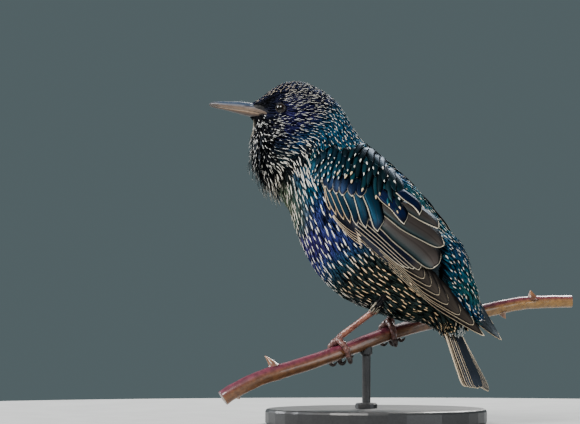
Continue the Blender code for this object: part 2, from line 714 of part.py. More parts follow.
def make_tail():
    slot = "plumage_tail"
    n, m = 5, 7
    u = np.linspace(0, 0.42, n)[:, None]
    v = np.linspace(-1, 1, m)[None, :]
    half = TAIL_HALF[0] + (TAIL_HALF[1] - TAIL_HALF[0]) * u
    thick = TAIL_THICK[0] * (1 - 1.3 * u)
    round_off = np.sqrt(np.clip(1 - (v * 0.95) ** 2, 0, 1))
    over = tail_point(u, v * half, thick * round_off / 2)
    under = tail_point(u, v * half, -thick * round_off / 2)
    core = plate("tail", over, under, slot)
    size = np.linalg.norm(np.array(TAIL_END) - np.array(TAIL_START))

    def place(a, b, h):
        return tail_point(a / size, b, h)

    vanes = []
    for k in range(6):
        for sign in (-1, 1):
            out = sign * (1.7 + 1.62 * k)
            root = (0.6, out * 0.66)
            tip = (size * 0.965 + (FAR_TAIL_STEP if sign > 0 else NEAR_TAIL_STEP) * k, out * 1.02)
            heights = (1.5 - 0.5 * k, 0.95 - 0.4 * k + (0.1 if sign > 0 else 0.0))
            vanes.append(vane("tail_feather", place, root, tip, 3.3, heights, 0.0, slot, 5, 0.0, 0.42))
    return combine(core, vanes, "UNION", FEATHER_SOLVER, True, 3.0)


# Branch
PERCH_ROWS = np.array(PERCH)


def perch_at(k):
    row = catmull(PERCH_ROWS, np.asarray(float(k)))
    ahead = catmull(PERCH_ROWS, np.asarray(min(float(k) + 0.05, len(PERCH) - 1.0)))
    behind = catmull(PERCH_ROWS, np.asarray(max(float(k) - 0.05, 0.0)))
    run = ahead[:3] - behind[:3]
    run = run / np.linalg.norm(run)
    side = np.cross((0.0, 0.0, 1.0), run)
    side = side / np.linalg.norm(side)
    up = np.cross(run, side)
    return row[:3], run, side, up, row[3]


def perch_rings(grow=0.0, count=21, around=12):
    rings = []
    for k in np.linspace(0, len(PERCH) - 1, count):
        at, run, side, up, radius = perch_at(k)
        ring = []
        for j in range(around):
            a = 2 * math.pi * j / around
            ring.append(at + (side * math.sin(a) + up * math.cos(a)) * (radius + grow))
        rings.append(ring)
    return rings


def make_perch():
    stem = tube("perch_stem", perch_rings(), "branch_bark")
    thorns = []
    for place, angle, height, foot, lean in THORNS:
        at, run, side, up, radius = perch_at(place * (len(PERCH) - 1))
        a = math.radians(angle)
        out = side * math.sin(a) + up * math.cos(a)
        across = np.cross(run, out)
        rings = []
        for i in range(6):
            f = i / 5
            size = foot * (1 - f) ** 0.8 + 0.28 * f
            middle = at + out * (radius - 1.6 + (height + 1.6) * f) + run * lean * height * f * f
            around = [2 * math.pi * j / 10 for j in range(10)]
            rings.append([middle + (run * math.cos(b) * 1.25 + across * math.sin(b)) * size for b in around])
        thorns.append(tube("thorn", rings, "branch_bark"))
    return combine(stem, thorns, "UNION", "EXACT", True, 1.5)


def nearest_on_perch(point):
    places = np.linspace(0, len(PERCH) - 1, 401)
    return min(places, key=lambda k: np.linalg.norm((perch_at(k)[0] - point)[:2]))


# Legs and feet
def tube_along(points, radii, around=12, squash=1.0):
    points = [Vector(p) for p in points]
    rings = []
    last = None
    for i, at in enumerate(points):
        a = points[max(i - 1, 0)]
        b = points[min(i + 1, len(points) - 1)]
        run = (b - a).normalized()
        if last is None:
            last = run.orthogonal().normalized()
        side = (last - run * last.dot(run)).normalized()
        last = side
        other = run.cross(side)
        turns = [2 * math.pi * j / around for j in range(around)]
        ring = [at + (side * math.cos(a) + other * math.sin(a) * squash) * radii[i] for a in turns]
        rings.append([tuple(v) for v in ring])
    return rings


def toe_path(side_name, toe):
    joint = np.array(FEET[side_name][0])
    k0 = nearest_on_perch(joint)
    lean0, lean1, angle, radius = TOES[toe]
    if side_name == "right":
        lean0, lean1 = -lean0, -lean1
    at, run, side, up, stem = perch_at(k0)
    step = np.linalg.norm(perch_at(min(k0 + 0.5, 10))[0] - perch_at(k0 - 0.5)[0])
    points = []
    radii = []
    count = 9
    for i in range(count):
        f = i / (count - 1)
        turn = math.radians(angle * (0.08 + 0.92 * f))
        lean = lean0 + (lean1 - lean0) * f
        here, run, side, up, stem = perch_at(k0 + lean / step)
        r = radius * (1 - 0.28 * f) * (1 + 0.10 * math.cos(f * 6 * math.pi))
        reach = stem + GAP + 0.25 + r
        points.append(here + (side * math.sin(turn) + up * math.cos(turn)) * reach)
        radii.append(r)
    return points, radii


def make_leg(side_name, torso_grown):
    joint, ankle = [np.array(p) for p in FEET[side_name]]
    run = ankle - joint
    size = np.linalg.norm(run)
    run = run / size
    shares = np.linspace(0.1, 1.0, 91)
    places = joint + run * size * shares[:, None]
    hidden = np.abs(places[:, 1]) < torso_half_width(places[:, 0], places[:, 2])
    entry = shares[np.argmax(hidden)]
    thigh_end = joint + run * max(size * entry - THIGH_SHOWS, 6.4)
    thigh_top = thigh_end + run * 15.0 + np.array((2.0, -4.0 if side_name == "left" else 6.0, 5.0))
    points = [thigh_end, thigh_end + run * 1.2]
    points += [thigh_end + (thigh_top - thigh_end) * f for f in (0.3, 0.52, 0.76, 1.0)]
    low, high = THIGH_RADIUS
    radii = [low, low + 0.9, low + 2.6, low + 4.0, high - 0.6, high]
    thigh = tube("thigh_" + side_name, tube_along(points, radii, 18), "plumage_body")
    combine(thigh, [torso_grown()], "DIFFERENCE")
    start = joint + run * 2.4
    stop = thigh_end - run * GAP
    points = [start + (stop - start) * f for f in (0.0, 0.12, 0.3, 0.55, 0.8, 1.0)]
    foot_end, shank, heel_end = LEG_RADIUS
    radii = [foot_end, foot_end - 0.1, shank, shank, shank + 0.1, heel_end]
    leg = tube("leg_" + side_name, tube_along(points, radii, 14, 0.86), "leg_skin")
    combine(leg, [torso_grown()], "DIFFERENCE")
    return run


def make_foot(side_name, run):
    joint = np.array(FEET[side_name][0])
    k0 = nearest_on_perch(joint)
    at, along, side, up, stem = perch_at(k0)
    ball_low = at + up * (stem + GAP + 2.2)
    points = [joint + run * 2.1, joint + run * 0.8, joint * 0.75 + ball_low * 0.25]
    points += [(joint + ball_low) / 2, ball_low]
    palm = tube("foot_" + side_name, tube_along(points, [1.75, 2.0, 2.1, 2.0, 1.35], 14), "leg_skin")
    parts = []
    for toe in TOES:
        path, radii = toe_path(side_name, toe)
        path = [np.array(ball_low) * 0.4 + np.array(joint) * 0.6] + path
        radii = [radii[0] * 0.9] + radii
        parts.append(tube("toe", tube_along(path, radii, 8), "leg_skin"))
    combine(palm, parts, "UNION", "MANIFOLD", True, 3.0)
    for toe in TOES:
        make_claw(side_name, toe, k0)
    return palm


def make_claw(side_name, toe, k0):
    lean0, lean1, angle, radius = TOES[toe]
    if side_name == "right":
        lean1 = -lean1
    step = np.linalg.norm(perch_at(min(k0 + 0.5, 10))[0] - perch_at(k0 - 0.5)[0])
    arc = CLAW_ARC[toe]
    here, run, side, up, stem = perch_at(k0 + lean1 / step)
    sign = 1.0 if arc > 0 else -1.0
    end_radius = radius * 0.72
    gap_angle = sign * math.degrees((GAP + 0.12) / (stem + 1.3))
    points = []
    radii = []
    count = 7
    for i in range(count):
        f = i / (count - 1)
        turn = math.radians(angle + gap_angle + arc * f)
        r = end_radius * 0.86 * (1 - f) ** 0.75 + 0.22 * f
        reach = stem + GAP + 0.25 + end_radius * (1 - 0.6 * f) + CLAW_RISE * math.sin(f * math.pi)
        points.append(here + (side * math.sin(turn) + up * math.cos(turn)) * reach)
        radii.append(r)
    return tube("claw_" + toe + "_" + side_name, tube_along(points, radii, 8, 0.8), "claw_horn")


# Stand
def turned(name, profile, around, at, slot):
    mesh = bpy.data.meshes.new(name)
    points = [(r * MM, 0.0, z * MM) for r, z in profile]
    mesh.from_pydata(points, [(i, i + 1) for i in range(len(points) - 1)], [])
    made = bpy.data.objects.new(name, mesh)
    bpy.context.scene.collection.objects.link(made)
    step = made.modifiers.new("turn", "SCREW")
    step.steps = around
    step.render_steps = around
    step.use_merge_vertices = True
    step.merge_threshold = 0.00001
    step.use_smooth_shade = True
    graph = bpy.context.evaluated_depsgraph_get()
    graph.update()
    solid = bpy.data.meshes.new_from_object(made.evaluated_get(graph))
    made.modifiers.clear()
    made.data = solid
    solid.transform(Matrix.Translation((at[0] * MM, at[1] * MM, 0.0)))
    solid.materials.append(material(slot))
    keep_largest(made)
    return made


def make_stand():
    top = BASE_HEIGHT
    profile = ((0.0, top), (BASE_RADIUS - 1.6, top), (BASE_RADIUS - 0.5, top - 0.5), (BASE_RADIUS, top - 1.6),
               (BASE_RADIUS, 0.8), (BASE_RADIUS - 0.8, 0.0), (0.0, 0.0))
    base = turned("stand_base", profile, 36, (0.0, 0.0), "stand_paint")
    k = min(np.linspace(2, 7, 501), key=lambda v: abs(perch_at(v)[0][0] - ROD_AT_X))
    at, run, side, up, radius = perch_at(k)
    under = at[2] - radius
    profile = ((0.0, at[2] - 1.6), (ROD_RADIUS + 1.0, at[2] - 1.6), (ROD_RADIUS + 1.0, under - 2.6),
               (ROD_RADIUS, under - 3.6), (ROD_RADIUS, top + 3.2), (5.2, top + 3.0), (6.0, top + 2.2),
               (6.0, top + GAP), (0.0, top + GAP))
    rod = turned("stand_rod", profile, 16, at, "stand_paint")
    combine(rod, [tube("perch_clear", perch_rings(GAP, 41, 20), "stand_paint")], "DIFFERENCE")
    return base, rod


def main():
    clear_scene()
    make_head()
    make_bill()
    make_neck()
    make_torso()
    for side in ("left", "right"):
        make_wing(side)
    make_tail()
    make_perch()

    def torso_grown():
        return tube("torso_clear", body_rings(0.0, CUT_COLLAR, 30, GAP + 0.15), "plumage_body")

    for side in ("left", "right"):
        make_foot(side, make_leg(side, torso_grown))
    make_stand()
    shelf = bpy.data.collections.new("starling")
    bpy.context.scene.collection.children.link(shelf)
    for item in list(bpy.context.scene.collection.objects):
        bpy.context.scene.collection.objects.unlink(item)
        shelf.objects.link(item)


main()
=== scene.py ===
import bmesh
import bpy
import math
import numpy as np
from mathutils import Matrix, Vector


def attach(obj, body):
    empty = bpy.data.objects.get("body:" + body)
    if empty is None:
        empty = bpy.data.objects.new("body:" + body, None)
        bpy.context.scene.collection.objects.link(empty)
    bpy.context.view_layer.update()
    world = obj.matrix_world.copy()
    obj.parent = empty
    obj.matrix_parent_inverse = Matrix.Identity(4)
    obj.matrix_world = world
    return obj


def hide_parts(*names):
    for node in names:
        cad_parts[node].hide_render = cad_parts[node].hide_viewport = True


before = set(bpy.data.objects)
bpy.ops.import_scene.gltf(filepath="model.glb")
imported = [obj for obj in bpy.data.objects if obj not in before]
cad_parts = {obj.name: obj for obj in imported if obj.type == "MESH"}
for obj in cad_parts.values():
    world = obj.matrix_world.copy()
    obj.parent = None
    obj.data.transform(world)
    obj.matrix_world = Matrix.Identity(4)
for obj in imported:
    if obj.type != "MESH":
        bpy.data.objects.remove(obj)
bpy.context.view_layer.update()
MM = 0.001
GAP = 0.3
SIDES = ("left", "right")
FULL_TURN = 2 * math.pi
RNG = np.random.default_rng(11)

# Sizes in millimetres. The legs, toes and claws are a little stouter than the solids', the rest is the same.
# Body stations from the tail's root to the bill: back x, z, front x, z, half width, turn in degrees.
STATIONS = np.array((
    (60.5, 59.2, 37.8, 49.2, 11.0, 0.0),
    (59.1, 70.9, 29.7, 54.2, 14.5, 0.0),
    (55.4, 80.9, 16.7, 55.5, 18.5, 0.0),
    (51.1, 91.7, 0.1, 60.9, 21.5, 0.0),
    (43.4, 102.5, -16.6, 66.9, 23.0, 0.0),
    (34.4, 113.3, -28.5, 75.5, 23.8, 0.0),
    (24.9, 124.7, -36.8, 85.8, 23.5, 0.0),
    (14.3, 134.4, -42.9, 96.6, 22.5, 0.0),
    (3.7, 143.0, -47.2, 107.4, 20.5, 0.0),
    (-7.3, 151.2, -51.1, 118.1, 17.5, 0.0),
    (-14.5, 158.7, -57.5, 127.8, 15.5, 8.0),
    (-18.7, 165.3, -63.2, 136.4, 14.2, 16.0),
    (-23.1, 171.9, -66.4, 143.8, 13.5, 22.0),
    (-29.1, 177.8, -67.4, 150.3, 13.0, 25.0),
    (-37.2, 182.2, -67.9, 155.7, 12.6, 25.0),
    (-45.8, 184.6, -68.5, 159.5, 12.2, 25.0),
    (-53.9, 183.8, -69.6, 162.7, 11.8, 25.0),
    (-61.5, 179.5, -71.2, 164.6, 10.6, 25.0),
    (-66.9, 175.4, -72.5, 165.8, 9.2, 25.0),
    (-70.6, 173.5, -73.6, 166.6, 8.0, 25.0)))
# The head is turned about an upright axis at this x.
NECK_AXIS_X = -39.3
TURN = math.radians(25.0)
BODY_EGG = 0.08
# Shares of the half width that the face keeps, by x.
FACE_X = (-75.0, -70.0, -66.0, -62.5, -59.0, -55.0, -50.0, -44.0)
FACE_K = (0.42, 0.43, 0.45, 0.50, 0.62, 0.78, 0.93, 1.0)
LAST = len(STATIONS) - 1.0
# Stations where the neck's feathers begin, where the wings stop covering, and where the head's feathers begin.
NECK_FROM = 9.2
WINGS_END = 9.4
HEAD_FROM = 12.6
# The stations over which the face narrows, and the one past which the shares above hold.
FACE_FROM = 12.9
FACE_RUN = 0.9
FACE_FULL = 13.2
# Bill sections: x, ridge z, mouth line z, lower edge z, half width.
BILL = np.array((
    (-94.0, 172.9, 172.4, 171.9, 0.45), (-92.6, 173.7, 172.0, 171.0, 1.00),
    (-90.0, 174.1, 171.4, 170.3, 1.50), (-86.0, 174.15, 170.8, 169.5, 2.10),
    (-81.5, 174.1, 170.1, 168.3, 2.65), (-77.0, 174.0, 169.5, 167.1, 3.20),
    (-73.0, 173.6, 169.0, 166.0, 3.75), (-69.0, 173.1, 168.3, 165.3, 4.35),
    (-65.2, 172.5, 167.4, 164.8, 4.95), (-61.8, 171.8, 166.5, 164.6, 5.30),
    (-58.6, 171.0, 166.2, 164.8, 4.60)))
NOSTRIL = (-72.0, 171.9)
# The line on the head where the horn ends and the feathers begin, from the gape up to the ridge: x, z.
GAPE_LINE = np.array((
    (-63.5, 164.4), (-65.5, 166.2), (-61.8, 168.3), (-64.2, 170.2), (-67.2, 171.8), (-72.6, 172.7)))
EYE_AT = (-55.1, 170.3)
EYE_RADIUS = 3.1
EYE_SINK = 1.75
# The wing's sheet: its origin, and the directions of p, towards the tip, and q, towards the back, as x, z.
WING_AT = (-19.6, 126.0)
WING_P = (0.754, -0.657)
WING_Q = (0.657, 0.754)
WING_LOWER = np.array((
    (-2.8, 0.4), (4.5, -3.3), (14.3, -5.4), (27.3, -6.3), (43.4, -6.6), (66.1, -6.8), (86.5, -7.0),
    (102.4, -5.3), (118.7, -0.5)))
WING_UPPER = np.array((
    (-9.8, 9.3), (-2.3, 13.7), (8.8, 14.9), (24.1, 13.9), (34.4, 17.1), (42.6, 17.8), (51.2, 21.7),
    (60.2, 23.1), (70.1, 18.1), (76.2, 11.5), (87.0, 7.4), (98.0, 4.8), (107.0, 3.1), (113.5, 1.7),
    (118.7, 0.3)))
WING_CLEAR = 0.7
FAR_WING_DROOP = 2.2
TAIL_START = (45.6, 50.4)
TAIL_END = (60.6, 18.3)
TAIL_ROLL = 9.0
FAR_TAIL_STEP = 0.4
NEAR_TAIL_STEP = -0.55
NEAR_TAIL_EDGES = (0.25, 0.45, 0.22, 0.45, 0.28, 1.1)
FAR_TAIL_EDGES = (0.0, 0.30, 0.0, 0.40, 0.0, 0.45)
# The branch: middle x, y, z and radius.
PERCH = np.array((
    (-62.6, -60.2, 14.4, 4.15), (-57.5, -56.2, 18.5, 4.1), (-46.0, -46.1, 25.5, 4.0),
    (-28.5, -28.4, 32.6, 3.95), (-12.2, -9.8, 40.1, 3.85), (2.7, 8.4, 47.8, 3.8),
    (23.1, 32.3, 55.3, 3.75), (43.4, 53.0, 60.7, 3.65), (57.3, 65.0, 64.2, 3.5), (68.6, 73.9, 65.0, 3.4),
    (80.5, 82.2, 65.2, 3.3)))
# Thorns: place along the branch, angle round it in degrees, height, foot radius, lean.
THORNS = (
    (0.235, 25.0, 7.0, 2.6, -0.35), (0.735, 168.0, 3.4, 2.4, 0.5), (0.845, -8.0, 3.2, 2.6, -0.3),
    (0.405, 70.0, 1.8, 1.5, 0.2), (0.10, 150.0, 2.6, 2.2, 0.4))
# Feet: the toes' joint and the heel.
FEET = {
    "left": ((-14.9, -12.9, 47.2), (11.0, -12.6, 65.4)),
    "right": ((4.3, 10.4, 57.4), (27.0, 12.4, 75.5))}
LEG_RADII = ((0, 0.12, 0.4, 0.8, 1), (2.0, 1.9, 1.72, 1.8, 2.1))
THIGH_SHOWS = 4.2
# Toes: lean along the branch at the root and the tip, angle round it in degrees, radius.
TOES = {
    "inner": (-1.9, -5.4, 118.0, 1.40), "middle": (0.0, -0.4, 132.0, 1.50),
    "outer": (1.9, 5.2, 112.0, 1.40), "hind": (0.4, 1.6, -122.0, 1.60)}
# Degrees that a claw runs on round the branch, and its rise and lean in millimetres.
CLAW_ARC = {"inner": 58.0, "middle": 60.0, "outer": 56.0, "hind": -66.0}
CLAW_RISE = 2.25
CLAW_LEAN = 2.2
# The toes are drawn this much thicker than the solids'.
TOE_PLUMP = 1.28
SKIN_DEPTH = 1.3


# Shape functions
def unit(v):
    return v / np.linalg.norm(v)


def floats(*values):
    """The values as arrays of one shape."""
    return np.broadcast_arrays(*(np.asarray(v, float) for v in values))


def run_lengths(points):
    """Distance along a line of points, from nought at the first."""
    return np.concatenate([[0], np.cumsum(np.linalg.norm(np.diff(points, axis=0), axis=1))])


def circle(count):
    """Cosines and sines of count even angles."""
    a = FULL_TURN * np.arange(count) / count
    return np.cos(a), np.sin(a)


def from_back(t):
    """Angle round the body, 0 at the back and pi in front, the same on both sides."""
    return np.minimum(t, FULL_TURN - t)


def catmull(rows, s):
    """Points of the smooth curve through rows, at places s counted in rows."""
    n = len(rows)
    s = np.clip(s, 0.0, n - 1 - 1e-9)
    i = s.astype(int)
    f = (s - i)[..., None]
    p0, p1 = rows[np.maximum(i - 1, 0)], rows[i]
    p2, p3 = rows[np.minimum(i + 1, n - 1)], rows[np.minimum(i + 2, n - 1)]
    square = (2 * p0 - 5 * p1 + 4 * p2 - p3) * f * f
    return 0.5 * (2 * p1 + (p2 - p0) * f + square + (3 * p1 - p0 - 3 * p2 + p3) * f ** 3)


def turned(x, y, z, turn):
    """A place turned about the neck's upright axis."""
    dx = x - NECK_AXIS_X
    c, s = np.cos(turn), np.sin(turn)
    return np.stack([NECK_AXIS_X + c * dx - s * y, s * dx + c * y, z], -1)


def body_inside(s, t, grow):
    """Body surface at station s and angle t, grown outwards."""
    q = catmull(STATIONS, s)
    back, front, width = q[..., 0:2], q[..., 2:4], q[..., 4]
    turn = np.radians(q[..., 5])
    middle = (back + front) / 2
    half = (back - front) / 2
    size = np.linalg.norm(half, axis=-1)
    stretch = 1 + grow / size
    x = middle[..., 0] + half[..., 0] * np.cos(t) * stretch
    z = middle[..., 1] + half[..., 1] * np.cos(t) * stretch
    y = (width + grow) * np.sin(t) * (1 - BODY_EGG * np.cos(t))
    share = np.where(s > FACE_FULL, np.interp(x, FACE_X, FACE_K), 1.0)
    y = y * (1 + (share - 1) * np.clip((s - FACE_FROM) / FACE_RUN, 0, 1))
    return turned(x, y, z, turn)


def body_point(s, t, grow=0.0):
    """Body surface. Past the tail's root it goes straight on."""
    s, t, grow = floats(s, t, grow)
    e = 0.3
    ahead = body_inside(np.full(s.shape, e), t, grow)
    start = body_inside(np.zeros(s.shape), t, grow)
    return body_inside(np.clip(s, 0, LAST), t, grow) + np.minimum(s, 0)[..., None] * (ahead - start) / e


def per_station(s, t, e=0.04):
    """Millimetres along the body for one station."""
    return np.linalg.norm(body_point(s + e, t) - body_point(s - e, t), axis=-1) / (2 * e)


def head_point(x, y, z):
    return turned(x, y, z, TURN)


def head_place(points):
    """Side view place of points in the head's own frame, before its turn."""
    dx = points[..., 0] - NECK_AXIS_X
    return NECK_AXIS_X + math.cos(TURN) * dx + math.sin(TURN) * points[..., 1], points[..., 2]


def torso_half_width(x, z):
    """Half width of the torso at a side view place, nought outside it, by halving between stations."""
    x, z = floats(x, z)
    lo, hi = np.zeros(x.shape), np.full(x.shape, WINGS_END)

    def side(s):
        q = catmull(STATIONS, s)
        return (q[..., 2] - q[..., 0]) * (z - q[..., 1]) - (q[..., 3] - q[..., 1]) * (x - q[..., 0])

    at_low = side(lo)
    for _ in range(24):
        mid = (lo + hi) / 2
        same = np.sign(side(mid)) == np.sign(at_low)
        lo = np.where(same, mid, lo)
        hi = np.where(same, hi, mid)
    q = catmull(STATIONS, lo)
    back, front, width = q[..., 0:2], q[..., 2:4], q[..., 4]
    line = front - back
    along = ((x - back[..., 0]) * line[..., 0] + (z - back[..., 1]) * line[..., 1]) / (line ** 2).sum(-1)
    c = np.clip(1 - 2 * along, -1, 1)
    return np.where(np.abs(side(lo)) < 2.0, width * np.sqrt(1 - c * c) * (1 - BODY_EGG * c), 0.0)


def wing_place(p, q, side):
    if side == "right":
        q = q - math.radians(FAR_WING_DROOP) * np.clip((p - 20) / 60, 0, 1) * (p - 20)
    return WING_AT[0] + p * WING_P[0] + q * WING_Q[0], WING_AT[1] + p * WING_P[1] + q * WING_Q[1]


def wing_level(p, q, side):
    """How far out the wing's sheet lies: over the torso, and as a smooth ramp beyond it."""
    x, z = wing_place(p, q, side)
    under = torso_half_width(x, z) + WING_CLEAR
    ramp = 24.6 - 0.128 * np.maximum(p - 40, 0) - 0.05 * np.maximum(q - 4, 0) ** 2
    ramp = ramp - 0.010 * np.maximum(15 - p, 0) ** 2 - 0.02 * np.maximum(-1 - q, 0) ** 2
    return 0.5 * (under + ramp + np.sqrt((under - ramp) ** 2 + 1.0))


def wing_point(p, q, h, side):
    """A place h above the wing's sheet."""
    p, q, h = floats(p, q, h)
    e = 0.8
    y0 = wing_level(p, q, side)
    dp = np.clip((wing_level(p + e, q, side) - wing_level(p - e, q, side)) / (2 * e), -0.6, 0.6)
    dq = np.clip((wing_level(p, q + e, side) - wing_level(p, q - e, side)) / (2 * e), -1.2, 1.2)
    size = np.sqrt(1 + dp * dp + dq * dq)
    x, z = wing_place(p - dp / size * h, q - dq / size * h, side)
    sign = -1.0 if side == "left" else 1.0
    return np.stack([x, sign * (y0 + h / size), z], -1)


def tail_point(along, across, height):
    start = np.array(TAIL_START)
    run = unit(np.array(TAIL_END) - start)
    along, across, height = floats(along, across, height)
    c, s = math.cos(math.radians(TAIL_ROLL)), math.sin(math.radians(TAIL_ROLL))
    rise = height * c + across * s
    return np.stack([start[0] + run[0] * along - run[1] * rise, across * c - height * s,
                     start[1] + run[1] * along + run[0] * rise], -1)


def perch_at(k):
    """Middle, run, side, up and radius of the branch at place k, counted in rows of PERCH."""
    e = 0.05
    row = catmull(PERCH, np.asarray(float(k)))
    ahead = catmull(PERCH, np.asarray(min(float(k) + e, len(PERCH) - 1.0)))
    behind = catmull(PERCH, np.asarray(max(float(k) - e, 0.0)))
    run = unit(ahead[:3] - behind[:3])
    side = unit(np.cross((0.0, 0.0, 1.0), run))
    return row[:3], run, side, np.cross(run, side), row[3]


def nearest_on_perch(point):
    places = np.linspace(0, len(PERCH) - 1, 401)
    return min(places, key=lambda k: np.linalg.norm((perch_at(k)[0] - point)[:2]))


def perch_pace(k):
    """Millimetres along the branch for one row."""
    return np.linalg.norm(perch_at(min(k + 0.5, 10))[0] - perch_at(k - 0.5)[0])


# Mesh helpers
def link(made):
    bpy.context.scene.collection.objects.link(made)
    return made


def solid(name, verts, faces, smooth=True):
    mesh = bpy.data.meshes.new(name)
    mesh.from_pydata((np.asarray(verts, float) * MM).tolist(), [], faces)
    mesh.validate()
    mesh.polygons.foreach_set("use_smooth", [smooth] * len(mesh.polygons))
    mesh.update()
    return link(bpy.data.objects.new(name, mesh))


def grid_faces(rows, around, closed):
    """Quads of a grid whose rows are rings. closed also joins the last ring to the first."""
    faces = []
    for i in range(rows if closed else rows - 1):
        for j in range(around):
            k, next_row = (j + 1) % around, (i + 1) % rows
            faces.append((i * around + j, i * around + k, next_row * around + k, next_row * around + j))
    return faces


def tube(name, rings, smooth=True):
    """A closed tube through rings, with a point in the middle of each end."""
    rings = [np.asarray(r, float) for r in rings]
    n = len(rings[0])
    verts = [v for ring in rings for v in ring] + [rings[0].mean(axis=0), rings[-1].mean(axis=0)]
    faces = grid_faces(len(rings), n, False)
    last = (len(rings) - 1) * n
    for j in range(n):
        k = (j + 1) % n
        faces.append((len(verts) - 2, k, j))
        faces.append((len(verts) - 1, last + j, last + k))
    return solid(name, verts, faces, smooth)


def tube_along(points, radii, around=16, squash=1.0):
    """Rings round a line of points, turned as little as possible from one to the next."""
    points = [Vector(p) for p in points]
    rings, side = [], None
    for i, at in enumerate(points):
        run = (points[min(i + 1, len(points) - 1)] - points[max(i - 1, 0)]).normalized()
        side = run.orthogonal().normalized() if side is None else side
        side = (side - run * side.dot(run)).normalized()
        other = run.cross(side) * squash
        rings.append([tuple(at + (side * c + other * s) * radii[i]) for c, s in zip(*circle(around))])
    return rings


def outward(obj):
    work = bmesh.new()
    work.from_mesh(obj.data)
    bmesh.ops.recalc_face_normals(work, faces=work.faces)
    work.to_mesh(obj.data)
    work.free()
    return obj


def joined(objects, name):
    first = objects[0]
    with bpy.context.temp_override(active_object=first, selected_editable_objects=objects, object=first):
        bpy.ops.object.join()
    first.name = name
    first.data.name = name
    return first


def add_attribute(mesh, name, kind, values):
    made = mesh.attributes.new(name, kind, "POINT")
    made.data.foreach_set("color" if kind == "FLOAT_COLOR" else "vector", values.astype(np.float32).ravel())


def feather_mesh(name, rings, feather, colours, mark, edge, uv):
    """One mesh of closed feathers. rings and feather are (N, R, K, 3) and uv is (N, R, K, 2). The rest is for
    each feather, or for each point in the case of the first colour."""
    n, r, k = rings.shape[:3]
    index = np.arange(n * r * k).reshape(n, r, k)
    a, b = index[:, :-1, :], index[:, 1:, :]
    sides = np.stack([a, np.roll(a, -1, 2), np.roll(b, -1, 2), b], -1).reshape(-1, 4)
    caps = np.concatenate([index[:, 0, ::-1], index[:, -1, :]])
    if k == 8:
        caps = np.concatenate([caps[:, o] for o in ((0, 1, 6, 7), (1, 2, 5, 6), (2, 3, 4, 5))])
    faces = np.concatenate([sides, caps])
    mesh = bpy.data.meshes.new(name)
    mesh.vertices.add(n * r * k)
    mesh.vertices.foreach_set("co", (rings * MM).astype(np.float32).ravel())
    mesh.loops.add(faces.size)
    mesh.polygons.add(len(faces))
    mesh.polygons.foreach_set("loop_start", np.arange(0, faces.size, 4, dtype=np.int32))
    mesh.loops.foreach_set("vertex_index", faces.astype(np.int32).ravel())
    mesh.polygons.foreach_set("use_smooth", np.ones(len(faces), bool))
    mesh.update(calc_edges=True)
    corners = np.clip(uv.reshape(-1, 2)[faces.ravel()], 0.001, 0.999)
    mesh.uv_layers.new(name="OFBake").uv.foreach_set("vector", corners.astype(np.float32).ravel())
    add_attribute(mesh, "feather", "FLOAT_VECTOR", feather)
    add_attribute(mesh, "mark", "FLOAT_VECTOR", np.repeat(mark, r * k, axis=0))
    add_attribute(mesh, "edge", "FLOAT_VECTOR", np.repeat(edge, r * k, axis=0))
    for label, values in zip(("tint", "tipcolour"), colours):
        full = np.ones((n, r, k, 4))
        full[..., :3] = values if values.ndim == 4 else values[:, None, None, :]
        add_attribute(mesh, label, "FLOAT_COLOR", full)
    mesh.validate()
    return link(bpy.data.objects.new(name, mesh))


# Colours
def mix(a, b, f):
    return a + (b - a) * np.asarray(f)[..., None]


def col(*c):
    return np.array(c, float)


BLACK = col(0.006, 0.006, 0.008)
TEAL = col(0.006, 0.085, 0.105)
BLUE = col(0.010, 0.035, 0.160)
PURPLE = col(0.055, 0.018, 0.150)
GREEN = col(0.020, 0.095, 0.050)
BRONZE = col(0.110, 0.085, 0.030)
MAGENTA = col(0.085, 0.015, 0.075)
WHITE = col(0.93, 0.89, 0.80)
BUFF = col(0.72, 0.53, 0.32)
CREAM = col(0.85, 0.74, 0.56)
ORANGE_BUFF = col(0.80, 0.50, 0.23)
BLUISH = col(0.62, 0.66, 0.74)
# The far wing's primaries are painted pale blue-grey: a painted reflection of the light on them.
FAR_VANE_PAINTED_REFLECTION = col(0.42, 0.50, 0.58)
TAIL_GREY = col(0.075, 0.090, 0.120)
BROWN = col(0.050, 0.038, 0.030)
GREY_BROWN = col(0.110, 0.088, 0.072)


def wave(x, y, seed):
    """A slow even pattern from 0 to 1."""
    v = np.sin(x * 1.7 + seed) * np.cos(y * 1.3 - seed * 0.7) + 0.6 * np.sin(x * 3.1 - y * 2.3 + seed * 2.1)
    return 0.5 + 0.5 * np.clip(v / 1.5, -1, 1)


def step(lo, hi, x):
    """A smooth rise from 0 at lo to 1 at hi."""
    f = np.clip((x - lo) / (hi - lo), 0, 1)
    return f * f * (3 - 2 * f)


def band(lo0, lo1, hi0, hi1, x):
    """A smooth rise and fall: 1 from lo1 to hi0, and 0 before lo0 and after hi1."""
    return step(lo0, lo1, x) * (1 - step(hi0, hi1, x))


def paint(base, colour, share):
    return mix(base, np.broadcast_to(colour, base.shape), share)


def even(colour, count):
    return np.tile(colour, (count, 1))


